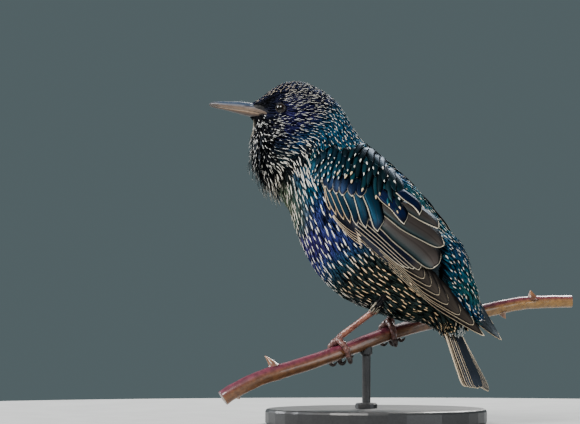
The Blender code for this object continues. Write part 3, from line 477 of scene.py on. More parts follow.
def plumage(s, a, rnd):
    """Colour and tip colour for a place on the body. a is 0 at the back and pi in front, and rnd is each
    feather's chance."""
    back = 1 - step(1.0, 1.7, a)
    front = step(1.8, 2.5, a)
    w1, w2 = wave(s * 1.1, a * 2.2, 1.0), wave(s * 0.8 + 3, a * 1.6, 4.0)
    flank = band(4.9, 6.4, 7.6, 8.8, s) * step(1.2, 1.7, a)
    breast = band(7.4, 8.4, 10.8, 11.8, s) * front
    belly = (1 - step(4.6, 6.0, s)) * step(1.0, 1.6, a)
    head = step(11.8, 13.2, s)
    cheek = band(11.6, 12.6, 14.2, 15.4, s) * band(0.9, 1.3, 1.9, 2.4, a)
    # Painted shadow: the neck below the cheeks' overlapping feathers is painted black.
    cheek_painted_shadow = band(10.2, 10.7, 11.3, 11.8, s) * step(1.2, 1.5, a)
    tint = np.broadcast_to(TEAL, s.shape + (3,))
    for colour, share in (
            (BLUE, 0.8 * w1), (GREEN, 0.45 * back * w2),
            (BLUE * 0.75 + PURPLE * 0.5, flank * (0.55 + 0.45 * w2)),
            (MAGENTA * 0.8 + BLUE * 0.3, 0.35 * flank * w1 * step(1.7, 2.3, a)),
            (GREEN * 1.1 + BRONZE * 1.5, breast * (0.35 + 0.5 * w1)),
            (MAGENTA + BLUE * 0.4, breast * 0.5 * w2 * (1 - step(8.6, 9.6, s))),
            (BLACK + GREEN * 0.12 + BRONZE * 0.08, 0.93 * belly),
            (BLUE * 0.45 + TEAL * 0.35, step(9.4, 10.8, s) * 0.6 * back),
            (BLACK * 1.5 + PURPLE * 0.12 + BLUE * 0.10, 0.92 * head),
            (BLUE * 0.35 + PURPLE * 0.35, 0.75 * cheek * (0.3 + 0.7 * w2)),
            (BLACK, 0.93 * front * step(10.4, 11.0, s)), (BLACK, 0.9 * cheek_painted_shadow),
            (BLACK, 0.92 * step(15.4, 16.4, s) * step(0.9, 1.3, a))):
        tint = paint(tint, colour, share)
    dark = np.where(rnd < 0.42 + 0.14 * head, 0.22, 1.0)
    tint = np.clip(tint * (0.5 + 1.1 * rnd[..., None]) * dark[..., None], 0.002, 1)
    tip = np.broadcast_to(WHITE, s.shape + (3,))
    for colour, share in (
            (BUFF, back * 0.35 * (1 - step(10, 12, s))),
            (ORANGE_BUFF, belly * 0.85 * (1 - step(2.3, 2.8, a))),
            (CREAM * 1.1, breast * 0.4), (BUFF, 0.5 * step(14.6, 16.0, s) * back),
            (BLUISH, 0.35 * head * (1 - back))):
        tip = paint(tip, colour, share)
    return tint, tip


# Materials
class Graph:
    """A material whose methods add nodes and give their outputs. Inputs are numbers, colours or outputs."""

    def __init__(self, name):
        self.material = bpy.data.materials.new(name)
        self.material.use_nodes = True
        self.tree = self.material.node_tree
        self.shader = self.tree.nodes["Principled BSDF"].inputs

    def put(self, socket, value):
        if isinstance(value, (int, float, tuple)):
            socket.default_value = value
        else:
            self.tree.links.new(value, socket)

    def new(self, kind, inputs, **settings):
        """A node of one kind, with its inputs by place or name."""
        made = self.tree.nodes.new("ShaderNode" + kind)
        for key, value in settings.items():
            setattr(made, key, value)
        for key, value in inputs.items():
            self.put(made.inputs[key], value)
        return made.outputs

    def maths(self, operation, a, b=0.0, clamp=False):
        return self.new("Math", {0: a, 1: b}, operation=operation, use_clamp=clamp)[0]

    def add(self, a, b):
        return self.maths("ADD", a, b)

    def less(self, a, b):
        return self.maths("SUBTRACT", a, b)

    def times(self, a, b):
        return self.maths("MULTIPLY", a, b)

    def over(self, a, b):
        return self.maths("DIVIDE", a, b)

    def ramp(self, value, low, high):
        inputs = {"Value": value, "From Min": low, "From Max": high}
        return self.new("MapRange", inputs, interpolation_type="SMOOTHSTEP")["Result"]

    def blend(self, share, a, b, kind="MIX"):
        return self.new("Mix", {0: share, 6: a, 7: b}, data_type="RGBA", blend_type=kind)[2]

    def attribute(self, name, output="Color"):
        return self.new("Attribute", {}, attribute_name=name)[output]

    def split(self, name):
        return self.new("SeparateXYZ", {0: self.attribute(name, "Vector")})

    def noise(self, scale, detail):
        where = self.new("TexCoord", {})["Object"]
        return self.new("TexNoise", {"Vector": where, "Scale": scale, "Detail": detail})["Fac"]

    def bump(self, height, strength, distance):
        inputs = {"Height": height, "Strength": strength, "Distance": distance}
        self.put(self.shader["Normal"], self.new("Bump", inputs)[0])


FEATHER_METAL = 0.55
FEATHER_ROUGH = 0.42
EDGE_BLUR = 0.1
BARBS_PER_MM = 16.0
SHAFT_COLOUR = (0.015, 0.012, 0.010, 1.0)
BORDER_COLOUR = (0.006, 0.005, 0.006, 1.0)
BARB_COLOUR = (0.012, 0.011, 0.012, 1.0)


def plumage_material(name):
    """Feathers with a pale spot at the tip, pale edges, a dark border, a shaft and barbs.

    The attribute feather holds the distances in millimetres to the tip and to the two edges. mark holds the
    spot's length, its share of half the width, and the dark border's share. edge holds the widths of the pale
    edges.
    """
    g = Graph(name)
    short, to_low, to_high = g.split("feather")
    spot_long, spot_wide, border_share = g.split("mark")
    low_edge, high_edge, tip_edge = g.split("edge")
    full = g.maths("MAXIMUM", g.add(to_low, to_high), 0.01)
    wide = g.maths("ABSOLUTE", g.over(g.less(to_low, to_high), full))
    rim = g.maths("MINIMUM", g.maths("MINIMUM", to_low, to_high), short)
    a = g.maths("POWER", g.over(short, g.maths("MAXIMUM", spot_long, 0.001)), 2.0)
    b = g.maths("POWER", g.over(wide, g.maths("MAXIMUM", spot_wide, 0.001)), 2.0)
    spot = g.less(1.0, g.ramp(g.add(a, b), 0.62, 1.0))
    low = g.ramp(g.less(low_edge, to_low), 0.0, EDGE_BLUR)
    high = g.ramp(g.less(high_edge, to_high), 0.0, EDGE_BLUR)
    near_tip = g.maths("SUBTRACT", 1.0, g.over(short, 6.0), clamp=True)
    fringe = g.ramp(g.less(g.times(tip_edge, near_tip), rim), 0.0, EDGE_BLUR)
    pale = g.maths("MAXIMUM", g.maths("MAXIMUM", spot, low), g.maths("MAXIMUM", high, fringe), clamp=True)
    plain = g.less(1.0, pale)
    border = g.less(1.0, g.ramp(rim, 0.5, 1.7))
    shaft = g.less(1.0, g.ramp(wide, 0.03, 0.1))
    barb_run = g.less(short, g.times(g.times(wide, full), 0.7))
    barbs = g.maths("SINE", g.times(barb_run, BARBS_PER_MM))
    # Painted shade: each feather's colour is darkened towards its root, where the feathers lying over it would
    # shade it.
    depth = g.less(1.1, g.times(g.maths("DIVIDE", short, 9.0, clamp=True), 0.5))
    base = g.blend(1.0, g.attribute("tint"), depth, "MULTIPLY")
    base = g.blend(g.times(shaft, 0.35), base, SHAFT_COLOUR)
    base = g.blend(g.times(g.times(g.times(border, plain), border_share), 0.85), base, BORDER_COLOUR)
    base = g.blend(g.times(g.add(0.5, g.times(barbs, 0.5)), 0.06), base, BARB_COLOUR)
    g.put(g.shader["Base Color"], g.blend(pale, base, g.attribute("tipcolour")))
    g.put(g.shader["Metallic"], g.times(plain, FEATHER_METAL))
    g.put(g.shader["Roughness"], g.add(FEATHER_ROUGH, g.times(pale, 0.25)))
    g.shader["Specular IOR Level"].default_value = 0.25
    g.shader["Specular Tint"].default_value = (0.40, 0.50, 0.60, 1.0)
    g.bump(g.add(g.times(barbs, 0.5), g.times(shaft, 1.5)), 0.10, 0.00012)
    return g.material


def simple_material(name, dark, light, rough, scale, bump=0.0, coat=0.0, tinted=False):
    """Two colours mixed by noise, times the points' own tint where tinted. bump is in metres."""
    g = Graph(name)
    shade = g.blend(g.ramp(g.noise(scale, 3.0), 0.35, 0.65), dark + (1.0,), light + (1.0,))
    if tinted:
        shade = g.blend(1.0, shade, g.attribute("tint"), "MULTIPLY")
    g.put(g.shader["Base Color"], shade)
    g.shader["Roughness"].default_value = rough
    g.shader["Coat Weight"].default_value = coat
    g.shader["Coat Roughness"].default_value = 0.12
    if bump:
        g.bump(g.noise(scale * 3.0, 4.0), 0.5, bump)
    return g.material


def tint_vertices(obj, colours):
    add_attribute(obj.data, "tint", "FLOAT_COLOR", np.concatenate([colours, np.ones((len(colours), 1))], 1))


def finish_piece(obj, mat, slot_name, *nodes):
    obj.data.materials.clear()
    obj.data.materials.append(mat)
    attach(obj, "root")
    if nodes:
        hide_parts(*nodes)
    return obj


# Eyes
def eye_frames():
    """Middle of the eyeball, place on the head's surface and outward direction of each eye."""
    frames = {}
    s = np.linspace(13.0, 18.8, 150)[:, None]
    for side, sign in zip(SIDES, (-1, 1)):
        t = (np.linspace(0.02, math.pi - 0.02, 160) * sign)[None, :]
        points = body_point(s, t)
        x, z = head_place(points)
        i, j = np.unravel_index(np.argmin((x - EYE_AT[0]) ** 2 + (z - EYE_AT[1]) ** 2), x.shape)
        normal = unit(np.cross(points[i + 2, j] - points[i - 2, j], points[i, j + 2] - points[i, j - 2]))
        if np.dot(normal, head_point(EYE_AT[0], sign * 30.0, EYE_AT[1]) - points[i, j]) < 0:
            normal = -normal
        frames[side] = (points[i, j] - normal * EYE_SINK, points[i, j], normal)
    return frames


EYES = eye_frames()


# Contour feathers over the body. Rows are shares along a feather, forms are half widths at such shares.
ROWS_BODY = np.array((0.0, 0.3, 0.66, 1.0))
ROWS_SPOTTED = np.array((0.0, 0.25, 0.5, 0.72, 0.88, 1.0))
LANCE = ((0.0, 0.3, 0.66, 0.88, 1.0), (0.55, 1.0, 0.8, 0.42, 0.05))
DROP = ((0.0, 0.3, 0.6, 0.84, 0.94, 1.0), (0.5, 0.85, 1.0, 0.86, 0.5, 0.08))
# The stations at which the tables of the coat give their values.
S_KEYS = (0.0, 3.0, 8.0, 10.0, 12.5, 14.0, 16.5, 19.0)
EYE_CLEAR = 2.8
SIDE_OF_BODY = 1.55
THIGH_RAISES = 2.6


def wing_low(p):
    return np.interp(p, WING_LOWER[:, 0], WING_LOWER[:, 1])


def wing_high(p):
    return np.interp(p, WING_UPPER[:, 0], WING_UPPER[:, 1])


def bill_height(x, column):
    """Height of the bill's ridge, mouth line or lower edge, which are columns 1, 2 and 3."""
    return np.interp(x, BILL[:, 0], BILL[:, column])


def wing_cover(points):
    """How far inside the folded wing's outline a place is, in millimetres, below nought outside."""
    dx, dz = points[..., 0] - WING_AT[0], points[..., 2] - WING_AT[1]
    p = dx * WING_P[0] + dz * WING_P[1]
    q = dx * WING_Q[0] + dz * WING_Q[1]
    return np.minimum(np.minimum(q - wing_low(p), wing_high(p) - q), np.minimum(p + 7.0, 112 - p))


def body_sites(start, end, paces, acrosses, jitter=0.16):
    """Staggered rows of feather roots from start to end: paces along and across in millimetres at S_KEYS."""
    rows_s, rows_t = [], []
    s, odd = start, 0
    turn = np.linspace(0, FULL_TURN, 97)
    while s < end:
        pace, across = float(np.interp(s, S_KEYS, paces)), float(np.interp(s, S_KEYS, acrosses))
        steps = run_lengths(body_point(s, turn))
        count = max(6, int(round(steps[-1] / across)))
        places = (np.arange(count) + 0.5 * (odd % 2)) / count * steps[-1]
        places = places + RNG.normal(0, jitter * across, count)
        rows_t.append(np.interp(np.mod(places, steps[-1]), steps, turn))
        pair = body_point(np.array((s, s + 0.05)), math.pi / 2)
        per_s = np.linalg.norm(pair[1] - pair[0]) / 0.05
        rows_s.append(s + RNG.normal(0, jitter * pace, count) / per_s)
        s += pace / per_s
        odd += 1
    return np.minimum(np.concatenate(rows_s), LAST - 0.1), np.mod(np.concatenate(rows_t), FULL_TURN)


def bare(s, t, long):
    """True where a feather would cover the bill's side, the eye or the end of the tail's root."""
    per_s = per_station(s, t)
    x, z = head_place(body_point(s, t))
    horn = np.interp(z, GAPE_LINE[:, 1], GAPE_LINE[:, 0])
    out = (s < 0.0) & (from_back(t) > 2.9)
    out |= (s > 15.0) & (x < horn) & (z > bill_height(x, 3) - 0.2) & (z < 173.2)
    for side in SIDES:
        for share in (0.0, 0.35, 0.7, 1.0):
            at = body_point(s - share * long / per_s, t)
            out |= np.linalg.norm(at - EYES[side][1], axis=-1) < EYE_CLEAR
    return out


def surface_feathers(name, s, t, long, half, lift, depth, shape, colours, mark, drift, rows, thick=0.1,
                     edge=None):
    """Feathers rooted at s, t that run back along the body. lift and depth are heights of tip and root."""
    e = 0.04
    edge = np.zeros((len(s), 3)) if edge is None else edge
    long = np.minimum(long, 3.0 + 11.0 * np.clip(s, 0, None))
    per_s = per_station(s, t)
    per_t = np.linalg.norm(body_point(s, t + e) - body_point(s, t - e), axis=-1) / (2 * e)
    each = (s, t, long, half, lift, depth, drift, per_s, per_t)
    s, t, long, half, lift, depth, drift, per_s, per_t = [value[:, None, None] for value in each]
    u = rows[None, :, None]
    v = np.array((-1.0, 0.0, 1.0))
    width = half * np.interp(rows, *shape)[None, :, None]
    s_all = s - long / per_s * u + 0 * v
    t_all = t + drift / per_t * u * u + width * v / per_t
    curve = 0.3 * width * (1 - np.abs(v))
    h = depth + (lift - depth) * u + curve
    top = body_point(s_all, t_all, h)
    low = body_point(s_all[:, :, 1:2], t_all[:, :, 1:2], (h - curve)[:, :, 1:2] - thick)
    rings = np.concatenate([top, low], 2)
    feather = np.zeros(rings.shape)
    feather[..., 0] = long * (1 - u)
    feather[..., 1] = width * np.array((0.0, 1.0, 2.0, 1.0))
    feather[..., 2] = width * np.array((2.0, 1.0, 0.0, 1.0))
    uv = np.zeros(rings.shape[:3] + (2,))
    uv[..., 0] = 0.02 + 0.96 * t / FULL_TURN + 0.0015 * np.array((-1.0, 0.0, 1.0, 0.0))
    uv[..., 1] = 0.02 + 0.95 * np.clip((s + 0.5) / 19.6, 0, 1) + 0.003 * (0.5 - u)
    return feather_mesh(name, rings, feather, colours, mark, edge, uv)


def sweep(s, t, long):
    """How far each feather's tip drifts round the body: cheek and neck feathers run towards the back."""
    cheek = band(10.6, 12.2, 15.2, 16.6, s) * band(0.5, 1.2, 2.2, 2.8, from_back(t))
    scatter = RNG.normal(0, 0.5, len(s)) * np.interp(s, (0, 12, 14, 19), (1, 1, 0.4, 0.15))
    return np.where(t < math.pi, -1, 1) * 0.75 * long * cheek + scatter


def shorter_under_tail(long, s, a):
    return long * (1 - 0.45 * (1 - step(0.6, 2.2, s)) * step(1.7, 2.3, a))


def coat_shape(s, a, cover, rnd):
    """Length, tip height and root depth of the coat's feathers."""
    back, front = 1 - step(1.0, 1.7, a), step(1.7, 2.4, a)
    beard = band(9.2, 10.2, 15.4, 17.0, s) * step(1.8, 2.4, a)
    long = np.interp(s, S_KEYS, (5.5, 9.5, 9.5, 8.0, 5.6, 4.4, 3.4, 1.8))
    long = shorter_under_tail(long * (1 + 0.4 * front * band(6.5, 8.5, 12.0, 13.5, s)), s, a)
    lift = -0.15 + 0.4 * rnd + beard * (0.7 + 1.3 * rnd)
    lift = lift * np.interp(s, (0, 12, 15, 19), (1, 1, 0.7, 0.4))
    lift = lift + 0.6 * band(13.8, 15.0, 17.0, 18.0, s) * back
    # Feathers over the wing's upper edge stand higher, and those below its lower edge lie lower.
    at_wing = np.where(a < 1.5, 2.2 * step(-3.0, 1.5, cover), -0.7 * step(-4.0, -1.0, cover))
    lift = lift + np.where((cover > -4.0) & (s < NECK_FROM), at_wing, 0)
    lift = lift + 1.1 * rnd ** 3 * (1 - step(3.5, 5.0, s)) * step(2.2, 2.7, a)
    return long, lift, np.interp(s, (0, 12, 14, 17, 19), (-1.25, -1.2, -1.0, -0.7, -0.3))


def over_thigh(s, t, rnd):
    """How much the coat is raised where a thigh leaves the body."""
    points = body_point(s, t)
    share = np.zeros(s.shape)
    for side in SIDES:
        end, top = thigh_line(side)[2:]
        away = np.linalg.norm(points - (end + (top - end) * 0.45), axis=-1)
        share = np.maximum(share, 1 - step(2.5, 8.5, away))
    return THIGH_RAISES * share * (0.4 + 0.6 * rnd)


def picked(keep, *values):
    return [value[keep] for value in values]


# The strands' spacing along and across, and half their width.
STRAND_PACES = (1.9, 1.9, 1.8, 1.5, 1.2, 1.0, 0.8, 0.55)
STRAND_ACROSSES = (1.25, 1.3, 1.2, 1.0, 0.85, 0.72, 0.6, 0.5)
STRAND_HALVES = (0.95, 0.95, 0.85, 0.62, 0.5, 0.42, 0.36, 0.28)


def make_strands():
    """The dense glossy strands, with no spots, that fill the coat."""
    s, t = body_sites(-0.2, 18.95, STRAND_PACES, STRAND_ACROSSES, 0.3)
    cover = wing_cover(body_point(s, t))
    s, t, cover = picked((cover < 3.0) | (s > WINGS_END), s, t, cover)
    rnd = RNG.random(len(s))
    a = from_back(t)
    long, lift, depth = coat_shape(s, a, cover, rnd)
    lift = lift + over_thigh(s, t, rnd)
    keep = ~bare(s, t, long) & ((cover < 0.8) | (a < 1.5) | (s > WINGS_END))
    s, t, a, rnd, long, lift, depth = picked(keep, s, t, a, rnd, long, lift, depth)
    half = np.interp(s, S_KEYS, STRAND_HALVES) * RNG.uniform(0.8, 1.2, len(s))
    tint, tip = plumage(s, a, rnd)
    drift = sweep(s, t, long)
    head, body = s >= HEAD_FROM, s < NECK_FROM
    groups = (
        ("head_strands", head, "plumage_head"), ("neck_strands", ~head & ~body, "plumage_neck"),
        ("back_strands", body & (a < 1.6), "plumage_body"),
        ("breast_strands", body & (a >= 1.6), "plumage_body"))
    for name, chosen, slot_name in groups:
        k = np.nonzero(chosen)[0]
        made = surface_feathers(
            name, s[k], t[k], long[k] * RNG.uniform(0.85, 1.15, len(k)), half[k], lift[k] - 0.1, depth[k],
            LANCE, (tint[k], tip[k]), np.zeros((len(k), 3)), drift[k], ROWS_BODY)
        finish_piece(made, feather_mat, slot_name)


# Spotted feathers, in millimetres at S_KEYS: spacing along and across, length, spot's length and full width.
BACK_SPOTS = (
    (3.6, 4.1, 4.2, 3.2, 2.2, 1.8, 1.65, 1.5), (2.9, 3.5, 3.4, 2.5, 1.6, 1.2, 1.0, 1.0),
    (5.5, 8.5, 8.0, 6.5, 5.0, 4.2, 3.4, 1.8), (2.2, 2.6, 2.4, 1.9, 1.6, 1.7, 1.5, 0.7),
    (0.85, 0.95, 0.85, 0.62, 0.42, 0.32, 0.28, 0.24))
FRONT_SPOTS = (
    (4.0, 4.8, 5.6, 4.0, 2.4, 2.0, 1.9, 1.8), (2.7, 3.4, 3.3, 2.0, 1.75, 1.5, 1.4, 1.4),
    (5.5, 9.5, 11.0, 11.0, 6.5, 4.4, 3.4, 1.8), (3.6, 4.2, 5.2, 8.0, 1.3, 0.9, 0.7, 0.4),
    (1.10, 1.05, 0.92, 0.86, 0.52, 0.46, 0.40, 0.30))
# The chance at some stations that a front spotted feather is left out, and the part of it for the back.
LEFT_OUT = ((0, 15.0, 16.5, 17.6, 19), (0.05, 0.08, 0.3, 0.8, 1.0))
LEFT_OUT_BACK = 0.12


def make_spotted(name, table, over_back):
    """The feathers with a pale drop at the tip, in rows, for the back or the front of the bird."""
    paces, acrosses, lengths, spots, widths = table
    s, t = body_sites(-0.1, 18.9, paces, acrosses)
    a = from_back(t)
    edge = SIDE_OF_BODY + RNG.normal(0, 0.06, len(s))
    cover = wing_cover(body_point(s, t))
    rnd = RNG.random(len(s))
    _, lift, depth = coat_shape(s, a, cover, rnd)
    lift = lift + over_thigh(s, t, rnd)
    long = shorter_under_tail(np.interp(s, S_KEYS, lengths) * RNG.uniform(0.88, 1.12, len(s)), s, a)
    keep = ((a < edge) == over_back) & ((cover < 3.2) | (s > WINGS_END))
    keep &= ((cover < 0.4) | (a < 1.5) | (s > WINGS_END)) & ~bare(s, t, long)
    keep &= ~((s > 15.7) & (a > 1.05) & (a < 2.1))
    keep &= RNG.random(len(s)) > np.interp(s, *LEFT_OUT) * (LEFT_OUT_BACK if over_back else 1.0)
    s, t, a, rnd, long, lift, depth = picked(keep, s, t, a, rnd, long, lift, depth)
    n = len(s)
    spot = np.interp(s, S_KEYS, spots) * RNG.uniform(0.5, 1.4, n)
    width = np.interp(s, S_KEYS, widths) * RNG.uniform(0.7, 1.25, n)
    drift = sweep(s, t, long)
    # Under the tail the feathers are longer, with pale edges in place of most of the spot.
    vent = (1 - step(0.9, 1.9, s)) * step(1.5, 1.8, a)
    mark = np.stack([spot * (1 - 0.8 * vent), np.full(n, 0.8), np.zeros(n)], 1)
    edges = 0.34 * vent[:, None] * np.stack([RNG.random(n), RNG.random(n), np.ones(n)], 1)
    made = surface_feathers(name, s, t, long * (1 + 0.9 * vent), width / 1.5, lift + 0.22, depth, DROP,
                            plumage(s, a, rnd), mark, drift, ROWS_SPOTTED, 0.12, edges)
    finish_piece(made, feather_mat, "plumage_body")


HACKLES = 1050
HACKLE_KEYS = (10.5, 12, 13.5, 15.4, 16.8)
SPIKES = 0.32


def make_beard():
    """Long narrow hackles that stand off the throat and hang over the breast."""
    n = HACKLES
    s = RNG.uniform(10.5, 16.8, n)
    t = math.pi + RNG.normal(0, 0.5, n).clip(-1.05, 1.05)
    aside = np.abs(t - math.pi)
    long = np.interp(s, HACKLE_KEYS, (9.5, 10.5, 8.0, 5.5, 4.0)) * RNG.uniform(0.8, 1.15, n)
    half = np.interp(s, (10.5, 13, 15.4), (0.52, 0.42, 0.32)) * RNG.uniform(0.85, 1.15, n)
    rnd = RNG.random(n)
    lift = np.interp(s, HACKLE_KEYS, (3.6, 6.4, 6.8, 6.0, 3.0)) * (0.2 + 0.9 * rnd)
    lift = lift * (1 - 0.65 * step(0.35, 1.0, aside))
    spikes = (RNG.random(n) < SPIKES) & (s < 13.8) & (aside < 0.6)
    long, lift, half = long + 4.0 * spikes, lift + 3.2 * spikes, half * np.where(spikes, 0.8, 1.0)
    tint, tip = plumage(s, from_back(t), rnd)
    spot = np.interp(s, (10.5, 11.5, 12.5, 15.4), (5.0, 3.0, 1.5, 1.0)) * RNG.uniform(0.7, 1.3, n)
    chin = step(15.0, 16.2, s) * (1 - step(0.2, 0.45, aside))
    mark = np.stack([spot * (1 - chin), np.full(n, 0.95), np.zeros(n)], 1)
    mark[RNG.random(n) < 0.2] = 0
    tint = paint(paint(tint, BLACK, 0.8), CREAM * 0.5, 0.85 * chin)
    drift = sweep(s, t, long) + RNG.normal(0, 0.5, n)
    made = surface_feathers("throat_hackles", s, t, long, half, lift, np.full(n, -0.9), DROP, (tint, tip),
                            mark, drift, ROWS_SPOTTED, 0.12)
    finish_piece(made, feather_mat, "plumage_neck")


# The skin under the coat
SKIN_AROUND = 72
SKIN_STATIONS = np.concatenate([np.linspace(0.0, 18.0, 110), np.linspace(18.1, 19.0, 8)])


def make_skin():
    around = np.linspace(0, FULL_TURN, SKIN_AROUND, endpoint=False)
    depths = np.interp(SKIN_STATIONS, (0, 12, 14, 17, 19), (-SKIN_DEPTH, -SKIN_DEPTH, -1.0, -0.7, -0.4))
    made = tube("skin", [body_point(s, around, depth) for s, depth in zip(SKIN_STATIONS, depths)])
    s, t = np.repeat(SKIN_STATIONS, SKIN_AROUND), np.tile(around, len(SKIN_STATIONS))
    tint = plumage(s, from_back(t), np.full(len(s), 0.6))[0]
    tint_vertices(made, np.concatenate([tint * 0.25 + 0.002, even((0.01,) * 3, 2)]))
    finish_piece(outward(made), skin_mat, "plumage_body", "torso", "neck", "head")


# Big feathers of the wings and the tail. A feather's section is five points across above and three below.
ACROSS = np.array((-1.0, -0.55, 0.0, 0.55, 1.0))
RING_ACROSS = np.concatenate([ACROSS, ACROSS[3:0:-1]])
VANE_THICK = 0.3
POINTED_FORM = ((0.0, 0.2, 0.5, 0.75, 0.9, 1.0), (0.6, 0.95, 1.0, 0.80, 0.42, 0.10))
COVERT_FORM = ((0.0, 0.2, 0.6, 0.8, 0.92, 0.975, 1.0), (0.6, 0.95, 1.0, 0.90, 0.66, 0.40, 0.14))
TAIL_FORM = ((0.0, 0.1, 0.5, 0.90, 0.96, 0.985, 1.0), (0.55, 0.8, 0.95, 1.0, 0.86, 0.60, 0.25))
NO_EDGE = (0.0, 0.0, 0.0)


def tip_heavy(rows):
    """Shares along a feather, closer together towards its tip."""
    return 1 - (1 - np.linspace(0, 1, rows)) ** 1.6


def closed_vane(place, p, q, heights, tilt, curl, thick):
    """Closes a sheet of five points across each row, at its places p, q, into rings with their distances."""
    u = tip_heavy(len(p))
    h = (heights[0] + (heights[1] - heights[0]) * u)[:, None] - tilt * ACROSS + curl * (1 - ACROSS ** 2)
    top = place(p, q, h)
    low = place(p[:, 1:4], q[:, 1:4], (h - thick)[:, 1:4] - 0.05)
    rings = np.concatenate([top, low[:, ::-1]], 1)
    run = run_lengths(np.stack([p[:, 2], q[:, 2]], -1))
    full = np.hypot(p[:, 4] - p[:, 0], q[:, 4] - q[:, 0])[:, None]
    share = (RING_ACROSS + 1) / 2
    feather = np.zeros(rings.shape)
    feather[..., 0] = (run[-1] - run)[:, None]
    feather[..., 1] = full * share
    feather[..., 2] = full * (1 - share)
    return rings, feather


def big_feather(place, root, tip, half, heights, form, rows, tilt=0.0, bend=0.0, thick=VANE_THICK, curl=0.22):
    """A feather given by its root, its tip and half its width."""
    root, tip = np.array(root, float), np.array(tip, float)
    run = unit(tip - root)
    up = np.array((-run[1], run[0]))
    u = tip_heavy(rows)
    line = root + (u * np.linalg.norm(tip - root))[:, None] * run + (bend * np.sin(u * math.pi))[:, None] * up
    aside = (half * np.interp(u, *form))[:, None] * ACROSS
    p, q = line[:, 0:1] + up[0] * aside, line[:, 1:2] + up[1] * aside
    return closed_vane(place, p, q, heights, tilt, curl, thick)


def places_along(points, shares):
    """Places at shares of the length of a line of points."""
    steps = run_lengths(points)
    return np.stack([np.interp(shares * steps[-1], steps, column) for column in points.T], -1)


def edge_feather(place, low, high, heights, rows, tilt, curl=0.22):
    """A feather given by its two edges, each a line of places from the root to the tip."""
    edges = [np.array(edge, float) for edge in (low, high)]
    fine = [catmull(edge, np.linspace(0, len(edge) - 1, 60)) for edge in edges]
    low, high = [places_along(edge, tip_heavy(rows))[:, :, None] for edge in fine]
    p, q = np.moveaxis(low + (high - low) * (ACROSS + 1) / 2, 1, 0)
    return closed_vane(place, p, q, heights, tilt, curl, VANE_THICK)


# Places on the wing's sheet in millimetres: p runs to the wing tip, q up to the back.
PRIMARY_TIPS = (
    (118.6, 0.2), (110.3, 0.5), (101.2, -0.2), (92.8, -0.2), (86.0, 0.5), (79.6, 1.1), (74.3, 1.9))
PRIMARY_FALL = ((0.0, 0.5, 1.0, 2.3, 7.4, 14.7, 40.0), (0.0, 0.5, 0.9, 1.5, 2.6, 4.1, 9.0))
PRIMARY_RISE = ((0.0, 0.3, 1.0, 3.0, 6.8, 14.5, 30.0), (0.15, 1.2, 2.3, 3.6, 5.1, 8.0, 13.0))
PRIMARY_STEP = 0.86
SECONDARIES = (
    (((28.0, -3.0), (43.0, -2.2), (55.0, -2.0), (61.0, -1.3), (62.5, -0.5)),
     ((28.0, 2.0), (50.0, 2.6), (60.5, 1.4), (62.5, -0.4))),
    (((27.0, -1.2), (42.0, -0.3), (54.0, -0.4), (62.5, -0.3), (64.6, 0.6)),
     ((28.0, 4.0), (50.0, 4.6), (62.4, 3.2), (64.6, 0.7))),
    (((27.0, 0.6), (41.0, 1.4), (54.0, 1.2), (64.5, 1.2), (67.0, 2.2)),
     ((28.0, 6.0), (50.0, 6.4), (64.8, 4.8), (67.0, 2.3))),
    (((27.0, 2.6), (39.0, 3.3), (54.0, 3.0), (66.5, 3.0), (69.6, 3.9)),
     ((28.0, 8.0), (52.0, 9.0), (67.5, 7.0), (69.6, 4.0))))
TERTIALS = (
    (((27.0, 5.6), (40.3, 5.9), (48.7, 5.5), (59.7, 5.8), (70.4, 6.3), (74.2, 7.8), (75.0, 9.6)),
     ((30.0, 13.5), (45.0, 14.5), (60.0, 16.8), (69.8, 15.7), (74.4, 12.4), (75.0, 9.7))),
    (((30.0, 10.6), (40.5, 11.1), (47.9, 11.4), (57.3, 13.0), (66.2, 14.8), (68.4, 16.3), (68.8, 17.4)),
     ((30.0, 18.0), (44.0, 20.5), (57.6, 21.8), (65.2, 19.9), (68.4, 18.5), (68.8, 17.5))),
    (((36.0, 17.6), (42.8, 18.6), (49.0, 19.2), (55.8, 20.4), (59.2, 21.4)),
     ((36.0, 22.0), (44.0, 24.6), (53.0, 24.6), (58.2, 22.8), (59.2, 21.5))))
# The greater coverts' lower edges, their widths, and how they narrow along lines of five and six places.
GREATER_COVERTS = (
    ((-4.0, 4.4), (-1.3, 1.8), (2.7, -0.9), (7.5, -4.0), (11.0, -4.9)),
    ((-2.5, 4.6), (0.2, 1.8), (4.2, -0.8), (10.3, -3.2), (15.5, -4.4)),
    ((-0.5, 4.8), (2.1, 2.4), (6.6, 1.0), (12.0, -1.2), (17.0, -2.9), (20.6, -3.3)),
    ((3.5, 6.6), (6.3, 4.4), (10.6, 2.6), (16.0, 0.2), (20.5, -1.5), (24.6, -2.2)),
    ((7.0, 8.0), (11.9, 5.4), (16.5, 3.9), (21.8, 1.7), (25.0, -0.2), (28.6, -0.8)),
    ((9.0, 11.5), (13.1, 9.4), (18.8, 7.0), (24.0, 4.8), (29.4, 2.4), (33.6, 1.8)),
    ((16.0, 12.0), (20.7, 10.3), (26.3, 8.6), (32.5, 6.2), (36.7, 4.7), (39.8, 4.7)))
GREATER_WIDTHS = (2.6, 2.9, 3.2, 3.6, 4.6, 5.0, 6.2)
GREATER_FADES = {5: (1.0, 1.0, 1.0, 0.85, 0.0), 6: (1.0, 1.0, 1.0, 0.95, 0.8, 0.0)}
INNER_COVERTS = (
    (((22.0, 15.6), (27.5, 14.2), (35.5, 14.3), (43.5, 13.4), (46.6, 13.4)),
     ((24.0, 20.0), (34.0, 20.4), (42.6, 18.8), (46.6, 13.6))),
    (((30.0, 21.6), (35.6, 21.5), (42.1, 21.7), (47.7, 20.7)),
     ((31.0, 25.0), (40.0, 25.4), (45.2, 23.6), (47.7, 20.8))))
